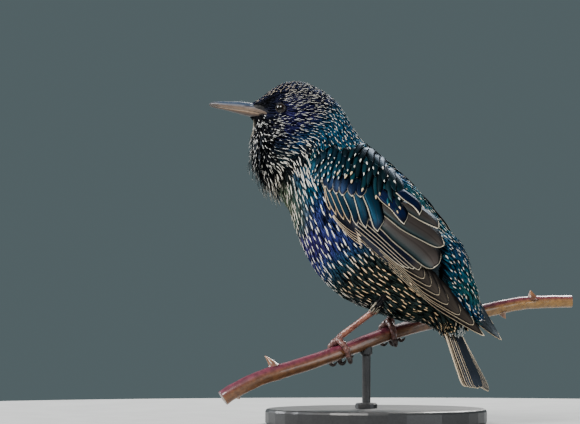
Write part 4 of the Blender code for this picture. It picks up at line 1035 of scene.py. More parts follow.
# Root and tip of the other feathers.
PRIMARY_COVERTS = (
    ((14.0, -5.0), (33.6, -3.6)), ((14.0, -5.6), (34.8, -5.0)), ((14.0, -6.0), (36.0, -6.2)),
    ((14.0, -6.3), (37.2, -7.4)))
MEDIAN_COVERTS = (
    ((-9.0, 9.4), (-2.4, 2.6)), ((-5.6, 9.0), (1.2, 2.0)), ((-2.2, 9.4), (4.8, 2.2)),
    ((1.4, 11.0), (8.6, 4.0)), ((4.2, 12.6), (12.0, 5.4)), ((8.2, 14.2), (16.0, 7.8)),
    ((11.8, 15.4), (19.8, 9.8)))
SCAPULARS = (
    (((-2.9, 15.4), (1.8, 9.3)), ((0.9, 16.5), (6.1, 10.6)), ((3.0, 17.9), (10.4, 11.1)),
     ((9.3, 20.2), (17.7, 11.6)), ((15.0, 21.7), (26.0, 13.3)), ((21.8, 21.2), (33.8, 15.1)),
     ((26.3, 21.5), (39.9, 15.2))),
    (((-8.6, 18.0), (-1.6, 12.6)), ((-6.1, 23.8), (-1.1, 17.4)), ((-1.6, 23.6), (4.0, 17.0)),
     ((4.0, 24.8), (11.0, 17.6)), ((8.0, 25.0), (15.6, 18.0)), ((13.5, 25.4), (22.5, 18.6)),
     ((20.0, 25.2), (29.8, 19.9)), ((24.0, 26.0), (34.5, 20.7))),
    (((-1.0, 29.0), (7.1, 22.6)), ((3.5, 28.6), (11.5, 23.6)), ((6.8, 29.8), (15.4, 23.9)),
     ((11.0, 28.4), (19.7, 22.9)), ((15.6, 29.2), (25.3, 24.0)), ((20.5, 29.4), (31.3, 24.8))))
# For each row of scapulars: heights of root and tip, shade, and the spot's share of half the width.
SCAPULAR_ROWS = ((1.6, 3.9, 1.0, 0.85), (1.0, 3.0, 0.8, 0.5), (0.6, 2.2, 0.6, 0.5))
SCAPULAR_BEND = 22.0


class Bundle:
    """Collects big feathers, then makes them one mesh whose feathers each have a cell of the OFBake map."""

    def __init__(self):
        self.feathers = []

    def add(self, made, tint, tip, mark, edge=NO_EDGE):
        rings, feather = made
        self.feathers.append((rings, feather, np.broadcast_to(tint, rings.shape), tip, mark, edge))

    def build(self, name):
        columns = math.ceil(math.sqrt(len(self.feathers)))
        parts = []
        for rows in sorted({len(made[0]) for made in self.feathers}):
            chosen = [i for i, made in enumerate(self.feathers) if len(made[0]) == rows]
            values = zip(*(self.feathers[i] for i in chosen))
            rings, feather, tint, tip, mark, edge = [np.array(value, float) for value in values]
            column, line = np.array([(i % columns, i // columns) for i in chosen], float).T[:, :, None, None]
            uv = np.zeros(rings.shape[:3] + (2,))
            uv[..., 0] = (column + 0.5 + 0.42 * RING_ACROSS) / columns
            uv[..., 1] = (line + 0.06 + 0.88 * tip_heavy(rows)[:, None]) / columns
            label = name + "_more" if parts else name
            parts.append(feather_mesh(label, rings, feather, (tint, tip), mark, edge, uv))
        return joined(parts, name) if len(parts) > 1 else parts[0]


def shade(base, spread=0.2):
    return np.clip(base * (1 + RNG.uniform(-spread, spread)), 0.002, 1)


def graded(made, at_low, middle, at_high, at_tip=None, tip_reach=8.0):
    """Colours over one feather from its lower edge to its upper edge, and towards its tip."""
    to_tip, to_low, to_high = np.moveaxis(made[1], -1, 0)
    share = to_low / np.maximum(to_low + to_high, 0.01)
    tint = mix(mix(at_low, middle, step(0.0, 0.35, share)), at_high, step(0.65, 1.0, share))
    if at_tip is not None:
        tint = mix(tint, at_tip, 1 - step(0.0, tip_reach, to_tip))
    return tint * (1 + RNG.uniform(-0.15, 0.15))


def add_primaries(bundle, place, vane):
    """Long feathers whose edges follow the wing's lower edge in steps, their own tips and its upper edge."""
    pale = CREAM * 0.5 + BUFF * 0.6
    for i, (tip_p, tip_q) in enumerate(PRIMARY_TIPS):
        gone = (np.linspace(0, 1, 18) ** 2 * (tip_p - 26.0))[::-1]
        p = tip_p - gone
        low = np.maximum(wing_low(p) + 0.15 + PRIMARY_STEP * i, tip_q - np.interp(gone, *PRIMARY_FALL))
        high = np.minimum(wing_high(p) - 0.1, tip_q + np.interp(gone, *PRIMARY_RISE))
        high = np.minimum(np.maximum(high, low + 0.05), low + 12.0)
        edges = np.stack([p, low], -1), np.stack([p, high], -1)
        made = edge_feather(place, *edges, (0.30 + 0.2 * i, 0.30 + 0.26 * i), 26, 0.14)
        bundle.add(made, graded(made, BLACK, vane, vane), pale, (0.0, 0.0, 0.75), (0.5, 0.0, 0.36))


def add_family(bundle, place, edges, root, tip, rows, tilt, colours, border, rim, curl=0.22, buff=0):
    """Feathers given by their edges. root and tip hold the first one's height and the rise to each next one.

    border is the dark border's share and rim the pale edge's width. The first few, buff of them, have buff
    edges.
    """
    for i, (low, high) in enumerate(edges):
        heights = (root[0] + root[1] * i, tip[0] + tip[1] * i)
        made = edge_feather(place, low, high, heights, rows, tilt, curl)
        pale = BUFF if i < buff else CREAM
        bundle.add(made, graded(made, *colours), pale, (0.0, 0.0, border), (rim, 0.0, 0.5))


def greater_edges():
    """Both edges of each greater covert."""
    edges = []
    for row, width in zip(GREATER_COVERTS, GREATER_WIDTHS):
        low = np.array(row)
        run = unit(low[-1] - low[0])
        fade = np.array(GREATER_FADES[len(low)])[:, None]
        edges.append((low, low + width * fade * np.array((-run[1], run[0]))))
    return edges


def add_lesser_coverts(bundle, place):
    """Small feathers over the bend of the wing, in rows."""
    for row in range(6):
        for i in range(9):
            p = -13.5 + 3.5 * row + 0.9 * (i % 2) + RNG.uniform(-0.5, 0.5)
            q = 15.2 - 1.9 * i + RNG.uniform(-0.4, 0.4)
            if q < wing_low(p + 5) + 0.8 or p > 0.6 * (q - 8.0) - 1.0:
                continue
            heights = (2.5, 4.1 + 0.12 * (6 - row))
            root, tip = (p - 3.0, q + 2.6), (p + 3.6, q - 2.4)
            made = big_feather(place, root, tip, 1.25, heights, POINTED_FORM, 9, 0.2)
            bundle.add(made, shade(TEAL * 0.45 + BLUE * 0.2, 0.6), WHITE, (1.5, 0.5, 0.3))


def add_scapulars(bundle, place):
    """Long narrow feathers with pale tips, in three rows from the lowest up, each with a darker one behind."""
    tips = (BUFF * 1.1, WHITE, WHITE)
    for layer, (low, high, dim, wide) in enumerate(SCAPULAR_ROWS):
        for i, (root, tip) in enumerate(np.array(SCAPULARS[layer])):
            run = unit(tip - root)
            for end in (root, tip):
                end[1] = min(end[1], SCAPULAR_BEND + (end[1] - SCAPULAR_BEND) * 0.4)
            for extra in (0, 1):
                shift = np.array((1.8, 1.0)) - run * RNG.uniform(1.5, 3.5) if extra else np.zeros(2)
                made = big_feather(place, root - run + shift, tip + shift, RNG.uniform(1.5, 1.8),
                                   (low, high + 0.04 * i), POINTED_FORM, 12, 0.15 * (-1) ** i, curl=0.4)
                colour = shade(TEAL * 0.75 + BLUE * 0.1, 0.4) * (0.45 if extra else 1.0) * dim
                spot = 0.0 if (extra and RNG.random() < 0.5) else RNG.uniform(1.7, 2.4)
                bundle.add(made, graded(made, BLACK, colour, BLACK), tips[layer], (spot, wide, 0.35))


def make_wing(side):
    def place(p, q, h):
        if side == "right":
            h = h * (1 - 0.65 * step(9.0, 15.0, q))
        return wing_point(p, q, np.maximum(h, 0.02), side)

    bundle = Bundle()
    grey, sheen, blue_black = GREY_BROWN * 0.6, GREY_BROWN * 0.95 + BLUE * 0.06, BLACK + BLUE * 0.12
    # The far wing's primaries get the painted reflection colour, and the near wing's get their own grey.
    add_primaries(bundle, place, FAR_VANE_PAINTED_REFLECTION if side == "right" else grey)
    add_family(bundle, place, SECONDARIES, (1.6, 0.2), (2.1, 0.24), 18, 0.18,
               (blue_black, blue_black, grey, grey), 0.6, 0.48)
    add_family(bundle, place, TERTIALS, (2.3, 0.22), (3.1, 0.3), 22, 0.2,
               (TEAL * 0.9, sheen, grey * 0.6), 0.9, 0.48, curl=0.5)
    add_family(bundle, place, greater_edges(), (2.2, 0.1), (2.7, 0.2), 16, 0.3,
               (BLUE * 0.30 + TEAL * 0.45, BLUE * 0.22 + TEAL * 0.32, BLACK, BLACK + BLUE * 0.1, 9.0),
               0.25, 0.42, buff=4)
    add_family(bundle, place, INNER_COVERTS, (3.2, 0.3), (4.1, 0.3), 16, 0.2,
               (BLUE * 0.3, BLUE * 0.5, BLACK, BLACK), 0.6, 0.4)
    for i, (root, tip) in enumerate(PRIMARY_COVERTS):
        heights = (2.5 - 0.25 * i, 2.3 - 0.3 * i)
        made = big_feather(place, root, tip, 1.1, heights, POINTED_FORM, 14, 0.1, -0.6)
        bundle.add(made, BLACK + BLUE * 0.05, BUFF + 0.1, (0.0, 0.0, 0.0), (0.36, 0.0, 0.6))
    for i, (root, tip) in enumerate(MEDIAN_COVERTS):
        made = big_feather(place, root, tip, 2.6, (2.4, 3.5 + 0.1 * i), POINTED_FORM, 12, 0.24)
        tint = graded(made, BLUE * 0.12, BLUE * 0.22 + TEAL * 0.06, BLUE * 0.1, BLACK + BLUE * 0.1, 3.0)
        bundle.add(made, tint, CREAM, (0.8, 0.5, 0.3), (0.0, 0.0, 0.36))
    add_lesser_coverts(bundle, place)
    add_scapulars(bundle, place)
    finish_piece(bundle.build("wing_feathers_" + side), feather_mat, "plumage_wing", "wing_" + side)


def make_arm(side):
    """The arm and the closed underside that the wing's feathers lie on."""
    n, m = 40, 11
    low = places_along(WING_LOWER[WING_LOWER[:, 0] < 67.0], np.linspace(0, 1, n))[:, :, None]
    high = places_along(WING_UPPER[WING_UPPER[:, 0] < 61.0], np.linspace(0, 1, n))[:, :, None]
    u, v = np.linspace(0, 1, n)[:, None], np.linspace(0.06, 0.94, m)
    p, q = np.moveaxis(low * (1 - v) + high * v, 1, 0)
    ends = np.clip(np.minimum(u / 0.2, (1 - u) / 0.3), 0, 1)
    thick = 0.35 + 1.5 * np.sqrt(ends) * np.sin(v * math.pi) ** 0.5
    sheets = [wing_point(p, q, h, side).reshape(-1, 3) for h in (thick, 0.0)]
    index = np.arange(n * m).reshape(n, m)
    above = np.stack([index[:-1, :-1], index[1:, :-1], index[1:, 1:], index[:-1, 1:]], -1).reshape(-1, 4)
    sides = np.stack([above, above[:, ::-1] + n * m], 1).reshape(-1, 4)
    rim = np.concatenate([index[:, 0], index[-1, 1:], index[-2::-1, -1], index[0, -2:0:-1]])
    after = np.roll(rim, -1)
    walls = np.stack([after, rim, rim + n * m, after + n * m], -1)
    faces = np.concatenate([sides, walls]).tolist()
    arm = outward(solid("wing_arm_" + side, np.concatenate(sheets), faces))
    tint_vertices(arm, even(BLUE * 0.12 + 0.003, len(arm.data.vertices)))
    finish_piece(arm, skin_mat, "plumage_wing")


def make_tail():
    bundle = Bundle()
    size = float(np.linalg.norm(np.array(TAIL_END) - np.array(TAIL_START)))
    near, far = (-1, NEAR_TAIL_STEP, 0.0, NEAR_TAIL_EDGES), (1, FAR_TAIL_STEP, 0.1, FAR_TAIL_EDGES)
    for k in range(6):
        for sign, longer, raised, rims in (near, far):
            out = sign * (1.7 + 1.62 * k)
            root, tip = (-4.0, out * 0.5), (size * 0.965 + longer * k, out * 1.02)
            heights = (1.5 - 0.5 * k, 0.95 - 0.4 * k + raised)
            made = big_feather(tail_point, root, tip, 3.1, heights, TAIL_FORM, 18, 0.08 * sign)
            vane = GREY_BROWN * 1.1 if sign < 0 and k > 3 else TAIL_GREY
            edge = (rims[k], 0.0, 0.45) if sign < 0 else (0.0, rims[k], 0.45)
            bundle.add(made, shade(vane, 0.3), BUFF * 0.45 + CREAM * 0.45, (0.0, 0.0, 0.6), edge)
    # Coverts above and below the tail's root.
    for above, first, tint in ((1, -3.0, TEAL * 0.5 + BLACK), (-1, 0.0, BROWN * 0.5 + BLACK)):
        for row in range(4):
            for i in range(9):
                out = -8.2 + 2.05 * i + RNG.uniform(-0.4, 0.4) + 0.9 * (row % 2)
                start = first - 3.0 * row + RNG.uniform(-0.8, 0.8) - 0.25 * abs(out)
                base = above * (3.2 + 0.55 * row - 0.14 * abs(out))
                made = big_feather(tail_point, (start - 5.0, out * 0.9), (start + 8.0, out * 0.88), 1.35,
                                   (base * 1.1, base * 0.8), COVERT_FORM, 10, curl=0.22 * above)
                bundle.add(made, shade(tint), WHITE * 0.9, (2.6, 0.36, 0.0), (0.12, 0.12, 0.2))
    finish_piece(bundle.build("tail_feathers"), feather_mat, "plumage_tail", "tail")


# Thighs
THIGH_RADIUS = 4.0
THIGH_GIRTH = 25.1


def thigh_line(side):
    """The leg's joint and run, the lower end of the feathered thigh, and its top inside the body."""
    joint, ankle = [np.array(p) for p in FEET[side]]
    size = np.linalg.norm(ankle - joint)
    run = unit(ankle - joint)
    shares = np.linspace(0.1, 1.0, 91)
    places = joint + run * size * shares[:, None]
    entry = shares[np.argmax(np.abs(places[:, 1]) < torso_half_width(places[:, 0], places[:, 2]))]
    end = joint + run * max(size * entry - THIGH_SHOWS, 6.4)
    top = end + run * 15.0 + np.array((2.0, -4.0 if side == "left" else 6.0, 5.0))
    return joint, run, end, top


def make_thighs():
    skins, feathers = [], Bundle()
    for side in SIDES:
        end, top = thigh_line(side)[2:]
        radii = np.interp(np.linspace(0, 1, 9), (0, 0.12, 0.35, 0.6, 1.0), (1.6, 2.0, 2.8, 3.7, 4.6))
        points = [end + (top - end) * share for share in np.linspace(0.02, 1.0, 9)]
        skins.append(tube("thigh_skin_" + side, tube_along(points, radii, 18)))
        length, axis = np.linalg.norm(top - end), unit(top - end)
        aside = unit(np.cross(axis, (0.0, 1.0, 0.0)))
        other = np.cross(axis, aside)

        def place(a, b, h, end=end, length=length, axis=axis, aside=aside, other=other):
            """a runs from the hidden top towards the leg, b round the thigh, and h is the height."""
            share = np.clip(1 - a / length, -0.35, 1.0)
            radius = np.interp(share, (-0.35, 0, 0.12, 0.35, 0.6, 1.0), (1.6, 1.8, 2.2, 3.0, 3.9, 4.8)) + h
            out = aside * np.cos(b / THIGH_RADIUS)[..., None] + other * np.sin(b / THIGH_RADIUS)[..., None]
            return end + axis * (share * length)[..., None] + out * radius[..., None]

        for row in range(8):
            for i in range(15):
                b = (i + 0.5 * (row % 2)) / 15 * THIGH_GIRTH + RNG.uniform(-0.3, 0.3)
                a = 0.5 + row * 1.9 + RNG.uniform(-0.5, 0.5)
                spotted = RNG.random() < 0.18
                pale = row > 4 and RNG.random() < 0.5
                tip = (a + RNG.uniform(5.5, 8.0), b + RNG.uniform(-0.9, 0.9))
                made = big_feather(place, (a, b), tip, 0.5, (-0.5, RNG.uniform(0.1, 0.9)), COVERT_FORM, 8,
                                   thick=0.12, curl=0.1)
                tint = shade(CREAM * 0.5 if pale else BLACK * 1.2 + BROWN * 0.15, 0.4)
                feathers.add(made, tint, CREAM * 0.9, (1.4 if spotted else 0.0, 0.6, 0.0))
    skin = joined(skins, "thigh_skin")
    tint_vertices(skin, even(BLACK * 0.8, len(skin.data.vertices)))
    finish_piece(outward(skin), skin_mat, "plumage_body", "thigh_left", "thigh_right")
    finish_piece(feathers.build("thigh_feathers"), feather_mat, "plumage_body")


# Bill
BILL_ARCH = 23
# Colours of each half from the mouth outwards, and where on that way the second and third begin and are full.
# The upper half's third colour, blue-grey towards the ridge, is a painted sheen of the light on the bill's
# top.
HORN_COLOURS = {
    "upper": (col(0.30, 0.21, 0.15), col(0.105, 0.068, 0.050), (0.12, 0.30),
              col(0.040, 0.065, 0.115), (0.40, 0.66)),
    "lower": (col(0.30, 0.20, 0.13), col(0.12, 0.075, 0.052), (0.15, 0.40),
              col(0.035, 0.027, 0.024), (0.55, 0.85))}
HORN_TIP = col(0.05, 0.045, 0.045)
HORN_ROOT = col(0.02, 0.018, 0.018)


def bill_section(row, part):
    """Points round one half of the bill: an arch, then two that close it at the mouth."""
    x, ridge, mouth, low, half = row
    a = np.linspace(0, math.pi, BILL_ARCH)
    if part == "upper":
        base = mouth + GAP * 0.35
        y, z = half * np.cos(a), base + (ridge - base) * np.sin(a) ** 0.8
        flat, floor_z = 0.45, base + 0.25 * min(ridge - base, 1.0)
    else:
        base = mouth - GAP * 0.35
        y, z = 0.95 * half * np.cos(a), base + (low - base) * np.sin(a) ** 0.85
        flat, floor_z = 0.4, base
    y, z = np.append(y, (-half * flat, half * flat)), np.append(z, (floor_z, floor_z))
    return np.stack([np.full(len(y), x), y, z], -1)


def cut_nostril(ring, mouth):
    """A long shallow slot under a low flap, and a groove above the mouth line."""
    x, z = ring[:, 0] - NOSTRIL[0], ring[:, 2] - NOSTRIL[1]
    ring[:, 1] *= 1 - 0.30 * np.exp(-((x / 2.0) ** 2 + (z / 0.62) ** 2) * 1.6)
    ring[:, 1] *= 1 + 0.10 * np.exp(-((x - 0.4) / 2.2) ** 2 - ((z - 0.75) / 0.4) ** 2)
    ring[:, 1] *= 1 - 0.03 * np.exp(-((ring[:, 2] - mouth - 0.62) / 0.3) ** 2)


def make_bill(part):
    fine = catmull(BILL, np.linspace(0, len(BILL) - 1, 64))
    rings = []
    for row in fine:
        ring = bill_section(row, part)
        if part == "upper":
            cut_nostril(ring, row[2])
        rings.append(head_point(*ring.T))
    piece = outward(tube("bill_" + part + "_horn", rings))
    x = np.append(np.repeat(fine[:, 0], BILL_ARCH + 2), (fine[0, 0], fine[-1, 0]))
    z = np.array([v.co.z for v in piece.data.vertices]) / MM
    mouth, end = bill_height(x, 2), bill_height(x, 1 if part == "upper" else 3)
    sign = 1 if part == "upper" else -1
    share = np.clip(sign * (z - mouth) / np.maximum(sign * (end - mouth), 0.2), 0, 1)
    first, second, second_at, third, third_at = HORN_COLOURS[part]
    colour = paint(even(first, len(x)), second, step(*second_at, share))
    colour = paint(colour, third, step(*third_at, share))
    colour = paint(colour, HORN_TIP, 0.75 * (1 - step(-93.8, -86.0, x)))
    colour = paint(colour, HORN_ROOT, (0.28 if part == "upper" else 0.56) * step(-70.0, -65.5, x))
    tint_vertices(piece, colour)
    finish_piece(piece, horn_mat, "bill_horn", "bill_" + part)


# Eyes and lids
PUPIL = col(0.004, 0.003, 0.003)
IRIS = col(0.022, 0.008, 0.004)
EYE_RIM = col(0.005, 0.004, 0.004)
# Paler tint for the lid's ridge: partly the lid's own grey edge, partly a painted highlight along the ridge.
LID_RIDGE_GREY_AND_HIGHLIGHT = col(0.010, 0.009, 0.009)
LID_AROUND = 56
LID_SECTION = 14


def ball(name, middle, radius, rows=24, around=40):
    """A closed ball with a pole above and one below."""
    c, s = circle(around)
    rings = []
    for i in range(1, rows):
        out, up = radius * math.sin(math.pi * i / rows), radius * math.cos(math.pi * i / rows)
        height = np.full(around, middle[2] + up)
        rings.append(np.stack([middle[0] + out * c, middle[1] + out * s, height], -1))
    made = tube(name, rings)
    for pole, up in ((-2, radius), (-1, -radius)):
        made.data.vertices[pole].co = Vector((middle[0], middle[1], middle[2] + up)) * MM
    return outward(made)


def make_eye(side):
    middle, _, normal = EYES[side]
    eye = ball("eye_ball_" + side, middle, EYE_RADIUS)
    reach = (np.array([v.co for v in eye.data.vertices]) / MM - middle) @ normal / EYE_RADIUS
    ring = np.sqrt(np.clip(1 - reach ** 2, 0, 1)) * EYE_RADIUS
    colour = mix(mix(PUPIL, IRIS, step(1.75, 1.95, ring)), EYE_RIM, step(2.15, 2.4, ring))
    tint_vertices(eye, np.where(reach[:, None] > 0, colour, 0.01))
    finish_piece(eye, eye_mat, "eye_gloss", "eye_" + side)


def make_lid(side):
    """A beaded ring with a ridge round the eye's opening, which is a little longer than high."""
    _, at, normal = EYES[side]
    across = unit(np.cross(normal, (0.0, 0.0, 1.0)))
    up = unit(np.cross(across, normal))
    a = (FULL_TURN * np.arange(LID_AROUND) / LID_AROUND)[:, None, None]
    b = (FULL_TURN * np.arange(LID_SECTION) / LID_SECTION)[None, :, None]
    out = across * np.cos(a) * 1.12 + up * np.sin(a) * np.where(np.sin(a) > 0, 0.98, 0.94)
    bead = 1 + 0.08 * np.sin(a * 22)
    ridge = np.exp(-((np.cos(b) - 0.35) / 0.22) ** 2) * (np.sin(b) > 0)
    verts = at + normal * (0.02 + 0.26 * np.sin(b) * bead + 0.096 * ridge)
    verts = verts + out * (2.44 + 0.34 * np.cos(b) * bead)
    faces = grid_faces(LID_AROUND, LID_SECTION, True)
    lid = outward(solid("eye_lid_" + side, verts.reshape(-1, 3), faces))
    # The ridge is tinted paler: partly the lid's grey edge, partly a painted highlight.
    tint_vertices(lid, mix(BLACK, LID_RIDGE_GREY_AND_HIGHLIGHT, np.tile(ridge.ravel(), LID_AROUND)))
    finish_piece(lid, lid_mat, "plumage_head")


# Legs, feet and claws
PALM_RADII = (1.75, 2.0, 2.1, 2.0, 1.35)


def scuted(name, points, radii, around, pitch, depth, squash=0.9):
    """A tube whose radius steps once a pitch, as overlapping scutes do."""
    points = np.array(points, float)
    steps = run_lengths(points)
    at = np.linspace(0, steps[-1], max(12, int(steps[-1] / 0.16)))
    fine = places_along(points, at / steps[-1])
    for _ in range(6):
        fine[1:-1] = (fine[:-2] + 2 * fine[1:-1] + fine[2:]) / 4
    radius = np.interp(at, steps, radii) * (1 + depth * ((at / pitch) % 1.0 - 0.5))
    radius[[0, -1]] *= 0.8
    return outward(tube(name, tube_along(fine, radius, around, squash)))


def on_perch(k, angle, height):
    """A place at a height over the bark, at an angle round the branch, and the branch's run there."""
    here, run, side, up, stem = perch_at(k)
    return here + (side * math.sin(angle) + up * math.cos(angle)) * (stem + height), run


def toe_path(side_name, toe, k0):
    lean0, lean1, angle, radius = TOES[toe]
    mirror = -1 if side_name == "right" else 1
    points, radii = [], []
    for f in np.linspace(0, 1, 17):
        k = k0 + mirror * (lean0 + (lean1 - lean0) * f) / perch_pace(k0)
        r = TOE_PLUMP * radius * (1 - 0.24 * f) * (1 + 0.07 * math.cos(f * 6 * math.pi))
        points.append(on_perch(k, math.radians(angle * (0.08 + 0.92 * f)), 0.05 + r)[0])
        radii.append(r)
    return points, radii


def make_claw(side_name, toe, k0):
    _, lean, angle, radius = TOES[toe]
    k = k0 + (-lean if side_name == "right" else lean) / perch_pace(k0)
    arc, end_radius = CLAW_ARC[toe], radius * 0.95
    points, radii = [], []
    for f in np.linspace(-0.12, 1, 18):
        g = max(f, 0.0)
        turn = math.radians(angle + math.copysign(2.0, arc) + arc * 0.8 * f)
        rise = CLAW_RISE * math.sin(g * math.pi) ** 0.8
        at, run = on_perch(k, turn, 0.3 + end_radius * (1 - 0.6 * g) + rise)
        points.append(at + run * CLAW_LEAN * g * g)
        radii.append(end_radius * 1.1 * (1 - g) ** 0.62 + 0.13 * g)
    claw = outward(tube("horn_claw_" + toe + "_" + side_name, tube_along(points, radii, 14)))
    finish_piece(claw, claw_mat, "claw_horn", "claw_" + toe + "_" + side_name)


def make_foot(side_name):
    """A leg, its foot with the toes round the branch, and the claws."""
    joint, run, end, _ = thigh_line(side_name)
    k0 = nearest_on_perch(joint)
    sole = on_perch(k0, 0.0, GAP + 2.2)[0]
    shank = [joint + run * f for f in np.linspace(1.2, np.linalg.norm(end - joint) + 2.5, 9)]
    radii = np.interp(np.linspace(0, 1, 9), *LEG_RADII)
    leg = scuted("leg_skin_" + side_name, shank, radii, 20, 2.6, 0.10, 0.86)
    palm = [joint + run * 2.1, joint + run * 0.8, joint * 0.75 + sole * 0.25, (joint + sole) / 2, sole]
    parts = [scuted("foot_skin_" + side_name, palm, PALM_RADII, 20, 1.5, 0.07)]
    for toe in TOES:
        path, radii = toe_path(side_name, toe, k0)
        path, radii = [sole * 0.4 + joint * 0.6] + path, [radii[0] * 0.9] + radii
        parts.append(scuted("toe", path, radii, 16, 1.2, 0.07))
    foot = joined(parts, "foot_skin_" + side_name)
    finish_piece(leg, leg_mat, "leg_skin", "leg_" + side_name)
    finish_piece(foot, toe_mat, "leg_skin", "foot_" + side_name)
    for toe in TOES:
        make_claw(side_name, toe, k0)


# Branch
BARK_RED = col(0.150, 0.026, 0.050)
BARK_OLIVE = col(0.170, 0.070, 0.026)
BARK_GOLD = col(0.30, 0.15, 0.035)
BARK_CUT = col(0.30, 0.26, 0.16)
THORN_BASE = col(0.12, 0.05, 0.035)
THORN_POINT = col(0.33, 0.14, 0.05)


def make_thorn(place, angle, height, foot, lean):
    at, run, side, up, radius = perch_at(place * (len(PERCH) - 1))
    out = side * math.sin(math.radians(angle)) + up * math.cos(math.radians(angle))
    c, s = circle(20)
    section = run * 1.25 * c[:, None] + np.cross(run, out) * s[:, None]
    shares = np.linspace(0, 1, 18)
    rings = []
    for f in shares:
        size = foot * (1 - f) ** 0.9 * (1 + 0.5 * math.exp(-f * 7)) + 0.12 * f
        middle = at + out * (radius - 1.6 + (height + 1.6) * f) + run * lean * height * f * f
        rings.append(middle + section * size)
    thorn = outward(tube("thorn", rings))
    colours = np.repeat(mix(THORN_BASE, THORN_POINT, shares), 20, axis=0)
    tint_vertices(thorn, np.concatenate([colours, [THORN_BASE, THORN_POINT]]))
    return thorn


def make_perch():
    rings, colours = [], []
    c, s = circle(40)
    a = FULL_TURN * np.arange(40) / 40
    for k in np.linspace(0, len(PERCH) - 1, 260):
        at, _, side, up, radius = perch_at(k)
        knots = 0.02 * math.exp(-((k - 7.35) / 0.12) ** 2) + 0.05 * math.exp(-((k - 2.35) / 0.16) ** 2)
        grain = 1 + 0.018 * np.sin(a * 5 + k * 1.3) + 0.012 * np.sin(k * 9 + 3 * s) + knots
        rings.append(at + (side * s[:, None] + up * c[:, None]) * (radius * grain)[:, None])
        under = mix(BARK_OLIVE, BARK_GOLD, step(6.2, 7.2, k))
        colours.append(mix(under, BARK_RED, step(-0.35, 0.5, np.cos(a - 0.35))))
    stem = outward(tube("branch", rings))
    tint_vertices(stem, np.concatenate(colours + [even(BARK_CUT, 2)]))
    branch = joined([stem] + [make_thorn(*thorn) for thorn in THORNS], "branch")
    finish_piece(branch, bark_mat, "branch_bark", "perch_stem")


# Build everything
NEARLY_PLAIN = ((0.9, 0.9, 0.9), (1.0, 1.0, 1.0))
feather_mat = plumage_material("feathers")
skin_mat = simple_material("skin_under_feathers", *NEARLY_PLAIN, 0.6, 900.0, 0.0004, tinted=True)
horn_mat = simple_material("horn", (0.85, 0.85, 0.85), (1.1, 1.08, 1.05), 0.42, 500.0, 0.00005, 0.15, True)
eye_mat = simple_material("eye", *NEARLY_PLAIN, 0.05, 700.0, tinted=True)
lid_mat = simple_material("lid", (0.7, 0.7, 0.7), (1.1, 1.1, 1.1), 0.7, 2200.0, 0.00006, tinted=True)
leg_mat = simple_material("leg_scales", (0.15, 0.042, 0.026), (0.32, 0.12, 0.075), 0.36, 600.0, 0.00012, 0.2)
toe_mat = simple_material("toe_scales", (0.09, 0.034, 0.030), (0.22, 0.10, 0.080), 0.38, 700.0, 0.00012, 0.2)
claw_mat = simple_material("claw", (0.026, 0.017, 0.015), (0.075, 0.048, 0.040), 0.55, 900.0, 0.00003)
bark_mat = simple_material("bark", (0.72, 0.70, 0.70), (1.15, 1.15, 1.12), 0.42, 420.0, 0.00012, 0.5, True)
stand_mat = simple_material("stand_paint", (0.026, 0.026, 0.028), (0.036, 0.036, 0.038), 0.42, 900.0,
                            0.00004, 0.15)
paper_mat = simple_material("floor_paper", (0.42, 0.43, 0.43), (0.46, 0.47, 0.47), 0.8, 40.0)

make_skin()
make_strands()
make_spotted("spotted_back", BACK_SPOTS, True)
make_spotted("spotted_front", FRONT_SPOTS, False)
make_beard()
for side in SIDES:
    make_wing(side)
    make_arm(side)
make_tail()
make_thighs()
for part in ("upper", "lower"):
    make_bill(part)
for side in SIDES:
    make_eye(side)
    make_lid(side)
for side in SIDES:
    make_foot(side)
make_perch()
for name in ("stand_base", "stand_rod"):
    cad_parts[name].data.materials.clear()
    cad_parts[name].data.materials.append(stand_mat)

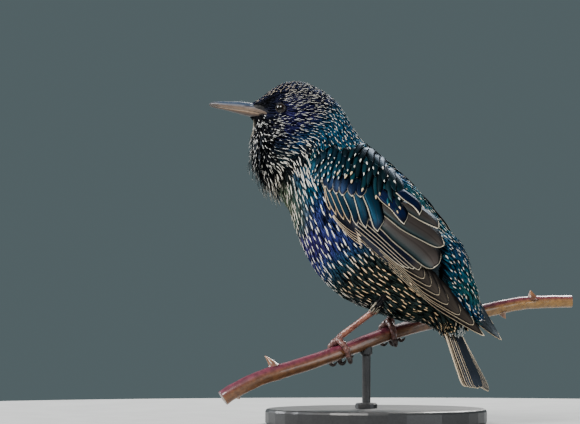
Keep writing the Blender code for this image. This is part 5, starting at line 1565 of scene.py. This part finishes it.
# Floor, light and camera. Places of the lights and the camera are in metres.
FLOOR_RADIUS = 420.0
FLOOR_HEIGHTS = (-6.0, -0.2)
AZIMUTH = math.radians(25.0)
AIM = Vector((-46.4 * math.cos(AZIMUTH), -46.4 * math.sin(AZIMUTH), 114.1)) * MM
BACK = Vector((math.sin(AZIMUTH), -math.cos(AZIMUTH), 0.0))
RIGHT = Vector((math.cos(AZIMUTH), math.sin(AZIMUTH), 0.0))
CAMERA_AWAY = 3.0
VIEW_WIDTH = 0.3132
SENSOR = 36.0
# Lights: place to the right, towards the camera and up, size, power, colour.
LIGHTS = {
    "key": (-0.55, 0.75, 0.85, 0.55, 21.0, (1.0, 0.97, 0.93)),
    "fill": (0.95, 0.75, 0.15, 0.7, 5.0, (0.90, 0.95, 1.0)),
    "rim": (0.35, -0.95, 0.75, 0.6, 23.0, (1.0, 0.98, 0.95)),
    "left_rim": (-0.95, -0.45, 0.45, 0.5, 13.0, (0.95, 0.97, 1.0))}


def area_light(name, right, back, up, size, power, colour):
    data = bpy.data.lights.new(name, "AREA")
    data.shape = "DISK"
    data.size = size
    data.energy = power
    data.color = colour
    lamp = link(bpy.data.objects.new(name, data))
    lamp.location = AIM + RIGHT * right + BACK * back + Vector((0, 0, up))
    lamp.rotation_euler = (AIM - lamp.location).to_track_quat("-Z", "Y").to_euler()


FLOOR_EDGE = np.stack(circle(96), -1) * FLOOR_RADIUS
floor = tube("floor", [np.column_stack([FLOOR_EDGE, np.full(96, z)]) for z in FLOOR_HEIGHTS], smooth=False)
floor.data.materials.append(paper_mat)

world = bpy.data.worlds.new("studio")
bpy.context.scene.world = world
world.use_nodes = True
world.node_tree.nodes["Background"].inputs["Color"].default_value = (0.090, 0.124, 0.132, 1.0)
world.node_tree.nodes["Background"].inputs["Strength"].default_value = 1.0
for name, light in LIGHTS.items():
    area_light(name, *light)

camera_data = bpy.data.cameras.new("camera")
camera_data.sensor_width = SENSOR
camera_data.lens = SENSOR * CAMERA_AWAY / VIEW_WIDTH
camera_data.clip_start = 0.05
camera_data.clip_end = 20.0
camera = link(bpy.data.objects.new("camera", camera_data))
camera.location = AIM + BACK * CAMERA_AWAY
camera.rotation_euler = (-BACK).to_track_quat("-Z", "Y").to_euler()
bpy.context.scene.camera = camera
